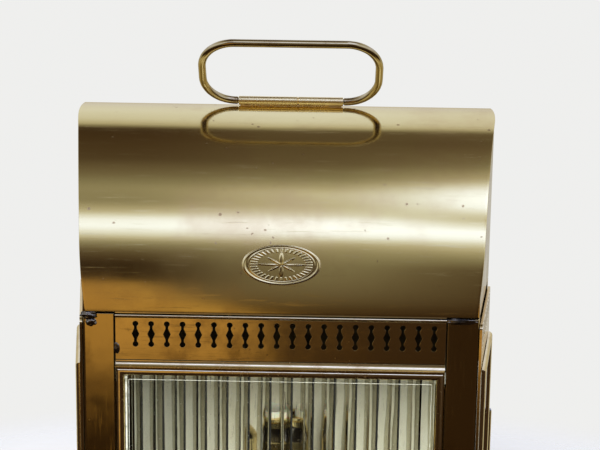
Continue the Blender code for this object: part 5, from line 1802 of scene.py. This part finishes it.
@dataclass
class Studio:
    """Pale floor, pale surround with soft boxes, and the camera."""

    backdrop: Colour = (0.862, 0.862, 0.850)
    warm_card: Colour = (0.58, 0.37, 0.14)
    middle: tuple[Band, ...] = (
        Band(-90, 0.03), Band(-22, 0.03), Band(-12, 0.07), Band(-5, 0.14), Band(2, 0.19),
        Band(17, 0.27), Band(27, 0.36), Band(32, 0.52), Band(37, 1.20), Band(42, 1.50),
        Band(47, 1.40), Band(51, 0.90), Band(57, 0.62), Band(66, 0.70), Band(72, 0.42),
        Band(78, 0.26), Band(90, 0.14), Band(110, 0.11), Band(123, 0.12), Band(128, 0.66),
        Band(135, 0.84), Band(148, 0.92), Band(165, 0.85), Band(180, 0.75))
    right: tuple[Band, ...] = (
        Band(-90, 0.02), Band(-14, 0.04), Band(-4, 0.07), Band(16, 0.09), Band(22, 0.26),
        Band(27, 0.48), Band(32, 0.80), Band(36, 1.30), Band(41, 1.46), Band(45, 0.90),
        Band(49, 0.62),
        Band(53, 0.85), Band(58, 1.35), Band(64, 1.50), Band(71, 1.30), Band(78, 0.62),
        Band(90, 0.26), Band(110, 0.12), Band(123, 0.14), Band(128, 0.66), Band(135, 0.80),
        Band(150, 0.86), Band(180, 0.72))
    left: tuple[Band, ...] = (
        Band(-90, 0.02), Band(-24, 0.02), Band(-12, 0.06), Band(0, 0.10), Band(9, 0.04),
        Band(17, 0.03), Band(25, 0.12), Band(31, 0.32),
        Band(36, 0.90), Band(41, 1.30), Band(46, 1.20), Band(51, 0.62), Band(58, 0.30),
        Band(68, 0.34), Band(78, 0.20), Band(92, 0.09), Band(108, 0.07), Band(123, 0.05),
        Band(128, 0.60), Band(135, 0.78), Band(150, 0.90), Band(180, 0.75))
    gain: float = 4.5
    brightest: float = 1.5
    lens: float = 93.6
    yaw: float = -0.86
    elevation: float = 12.0
    roll: float = 0.79
    distance: float = 0.7956
    aside: float = -0.0072
    rise: float = 0.0611

    def surround(self) -> None:
        """Build the pale surround and its soft boxes, which shiny things mirror."""
        world = bpy.data.worlds.new("studio")
        bpy.context.scene.world = world
        world.use_nodes = True
        world.node_tree.nodes.clear()
        net = Net(world.node_tree)
        way = net.add("ShaderNodeTexCoord").outputs["Generated"]
        axes = net.add("ShaderNodeSeparateXYZ", None, {0: way})
        ahead = net.math("MULTIPLY", axes.outputs["Y"], -1.0)
        angle = net.math("DEGREES", net.math("ARCTAN2", axes.outputs["Z"], ahead))
        share = net.add("ShaderNodeMapRange", {"clamp": True}, {
            0: angle, 1: -90.0, 2: 180.0}).outputs[0]
        ramps = [net.stops(share, [band.stop(self.brightest) for band in bands])
                 for bands in (self.left, self.middle, self.right)]
        aside = axes.outputs["X"]
        grey = net.blend(net.ramp(aside, -0.115, -0.02), ramps[0], ramps[1])
        grey = net.blend(net.ramp(aside, 0.0, 0.125), grey, ramps[2])
        height = net.add("ShaderNodeMapRange", None, {0: axes.outputs["Z"], 1: -1.0, 2: 1.0})
        wings = net.stops(height.outputs[0], [
            (0.0, (0.02,) * 3), (0.42, (0.03,) * 3), (0.50, (0.10,) * 3),
            (0.58, (0.40,) * 3), (0.74, (0.60,) * 3), (0.90, (0.36,) * 3),
            (1.0, (0.26,) * 3)])
        far = net.ramp(net.math("ABSOLUTE", aside), 0.30, 0.62)
        grey = net.blend(far, grey, wings)
        behind = net.math("MULTIPLY", net.ramp(axes.outputs["Y"], 0.05, 0.35),
                          net.ramp(axes.outputs["Z"], 0.30, 0.0))
        grey = net.blend(behind, grey, (0.40, 0.40, 0.40, 1.0))
        tint = net.stops(grey, [
            (0.02, (0.34, 0.19, 0.11)), (0.07, (0.34, 0.27, 0.23)),
            (0.17, (0.34, 0.34, 0.34)), (0.40, (0.34, 0.357, 0.43)),
            (0.60, (0.34, 0.40, 0.68)), (0.87, (0.34, 0.43, 0.95))])
        path = net.add("ShaderNodeLightPath")
        unseen = net.math("MAXIMUM", path.outputs["Is Transmission Ray"], behind)
        tint = net.blend(unseen, tint, (0.34, 0.34, 0.315, 1.0))
        colour = net.blend(1.0, grey, tint, "MULTIPLY")
        slant = net.math("ADD", aside, net.math("MULTIPLY", net.math(
            "ADD", angle, 10.0), 0.0039))
        card = net.math("MULTIPLY", net.ramp(slant, -0.056, -0.074),
                        net.ramp(angle, 7.0, 3.0))
        card = net.math("MULTIPLY", card, net.ramp(angle, -18.4, -16.6))
        card = net.math("MULTIPLY", card, net.ramp(aside, -0.5, -0.3))
        warm = [part / self.gain for part in self.warm_card]
        colour = net.blend(card, colour, (*warm, 1.0))
        gain = net.add("ShaderNodeVectorMath", {"operation": "SCALE"},
                       {0: colour, "Scale": self.gain})
        mirrored = net.add("ShaderNodeBackground", None, {0: gain.outputs[0], 1: 1.0})
        even = net.add("ShaderNodeBackground", None, {0: (*self.backdrop, 1.0), 1: 1.0})
        plain = net.add("ShaderNodeBackground", None, {0: (0.90, 0.90, 0.88, 1.0), 1: 0.75})
        seen = net.add("ShaderNodeMixShader", None, {
            0: path.outputs["Is Diffuse Ray"], 1: mirrored.outputs[0], 2: plain.outputs[0]})
        seen = net.add("ShaderNodeMixShader", None, {
            0: path.outputs["Is Camera Ray"], 1: seen.outputs[0], 2: even.outputs[0]})
        out = net.add("ShaderNodeOutputWorld")
        net.feed(out.inputs[0], seen.outputs[0])

    def floor(self) -> None:
        """Round pale floor that fades into the surround."""
        shape = bmesh.new()
        bmesh.ops.create_circle(shape, cap_ends=True, segments=96, radius=0.9)
        mesh = to_mesh(shape, "floor")
        ground = linked("studio_floor", mesh)
        made, net, shader, place = new_material("pale_floor")
        net.feed(shader.inputs["Base Color"], net.blend(
            net.ramp(net.noise(place, 14.0), 0.3, 0.7), (0.83, 0.81, 0.76, 1.0),
            (0.80, 0.78, 0.73, 1.0)))
        shader.inputs["Roughness"].default_value = 0.8
        reach = net.add("ShaderNodeVectorMath", {"operation": "LENGTH"}, {0: place})
        fade = net.ramp(reach.outputs["Value"], 0.42, 0.60)
        gloss = net.add("ShaderNodeLightPath").outputs["Is Glossy Ray"]
        clear = net.math("MAXIMUM", fade, gloss)
        open_air = net.add("ShaderNodeBsdfTransparent")
        mix = net.add("ShaderNodeMixShader", None, {
            0: clear, 1: shader.outputs[0], 2: open_air.outputs[0]})
        net.feed(made.node_tree.nodes["Material Output"].inputs[0], mix.outputs[0])
        mesh.materials.append(made)

    def lamps(self) -> None:
        """Two soft boxes; shiny things mirror the surround instead."""
        for label, spot, power, size in (
                ("key_box", (-0.35, -1.25, 0.95), 34.0, 0.9),
                ("fill_box", (0.9, -0.5, 0.7), 5.0, 0.8)):
            data = bpy.data.lights.new(label, "AREA")
            data.energy, data.size = power, size
            lamp = linked(label, data)
            lamp.location = spot
            aim = Vector((0.0, 0.0, 0.16)) - Vector(spot)
            lamp.rotation_euler = aim.to_track_quat("-Z", "Y").to_euler()
            lamp.visible_glossy = False
            lamp.visible_camera = False
            lamp.visible_transmission = False

    def camera(self) -> None:
        """Camera a little above the lantern, aimed at the hood."""
        turn, lift = math.radians(self.yaw), math.radians(self.elevation)
        ahead = Vector((math.sin(turn) * math.cos(lift), math.cos(turn) * math.cos(lift),
                        -math.sin(lift)))
        right = Vector((math.cos(turn), -math.sin(turn), 0.0))
        up = right.cross(ahead)
        crest = Vector((0.0, PLAN.back_face, PLAN.crest))
        spot = crest - ahead * self.distance - right * self.aside - up * self.rise
        tilt = math.radians(self.roll)
        across = right * math.cos(tilt) + up * math.sin(tilt)
        over = up * math.cos(tilt) - right * math.sin(tilt)
        data = bpy.data.cameras.new("camera")
        data.lens, data.sensor_width = self.lens, 36.0
        data.clip_start, data.clip_end = 0.05, 20.0
        made = linked("camera", data)
        made.matrix_world = Matrix((
            (across.x, over.x, -ahead.x, spot.x), (across.y, over.y, -ahead.y, spot.y),
            (across.z, over.z, -ahead.z, spot.z), (0.0, 0.0, 0.0, 1.0)))
        bpy.context.scene.camera = made

    def build(self) -> None:
        """Make the studio."""
        self.surround()
        self.floor()
        self.lamps()
        self.camera()
        bpy.context.scene.view_settings.view_transform = "Standard"


def main() -> None:
    """Build the lantern and its studio."""
    logging.basicConfig(level=logging.INFO, format="%(message)s")
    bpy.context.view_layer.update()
    pattern = Frieze()
    for part in (Hood(), RingHandle(), Front(pattern),
                 SidePanel(Side.LEFT, "left", pattern),
                 SidePanel(Side.RIGHT, "door", pattern, True), DoorFittings(), Back(),
                 Foot(), Inside(), Solder(), Studio()):
        part.build()
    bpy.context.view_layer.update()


if __name__ == "__main__":
    main()
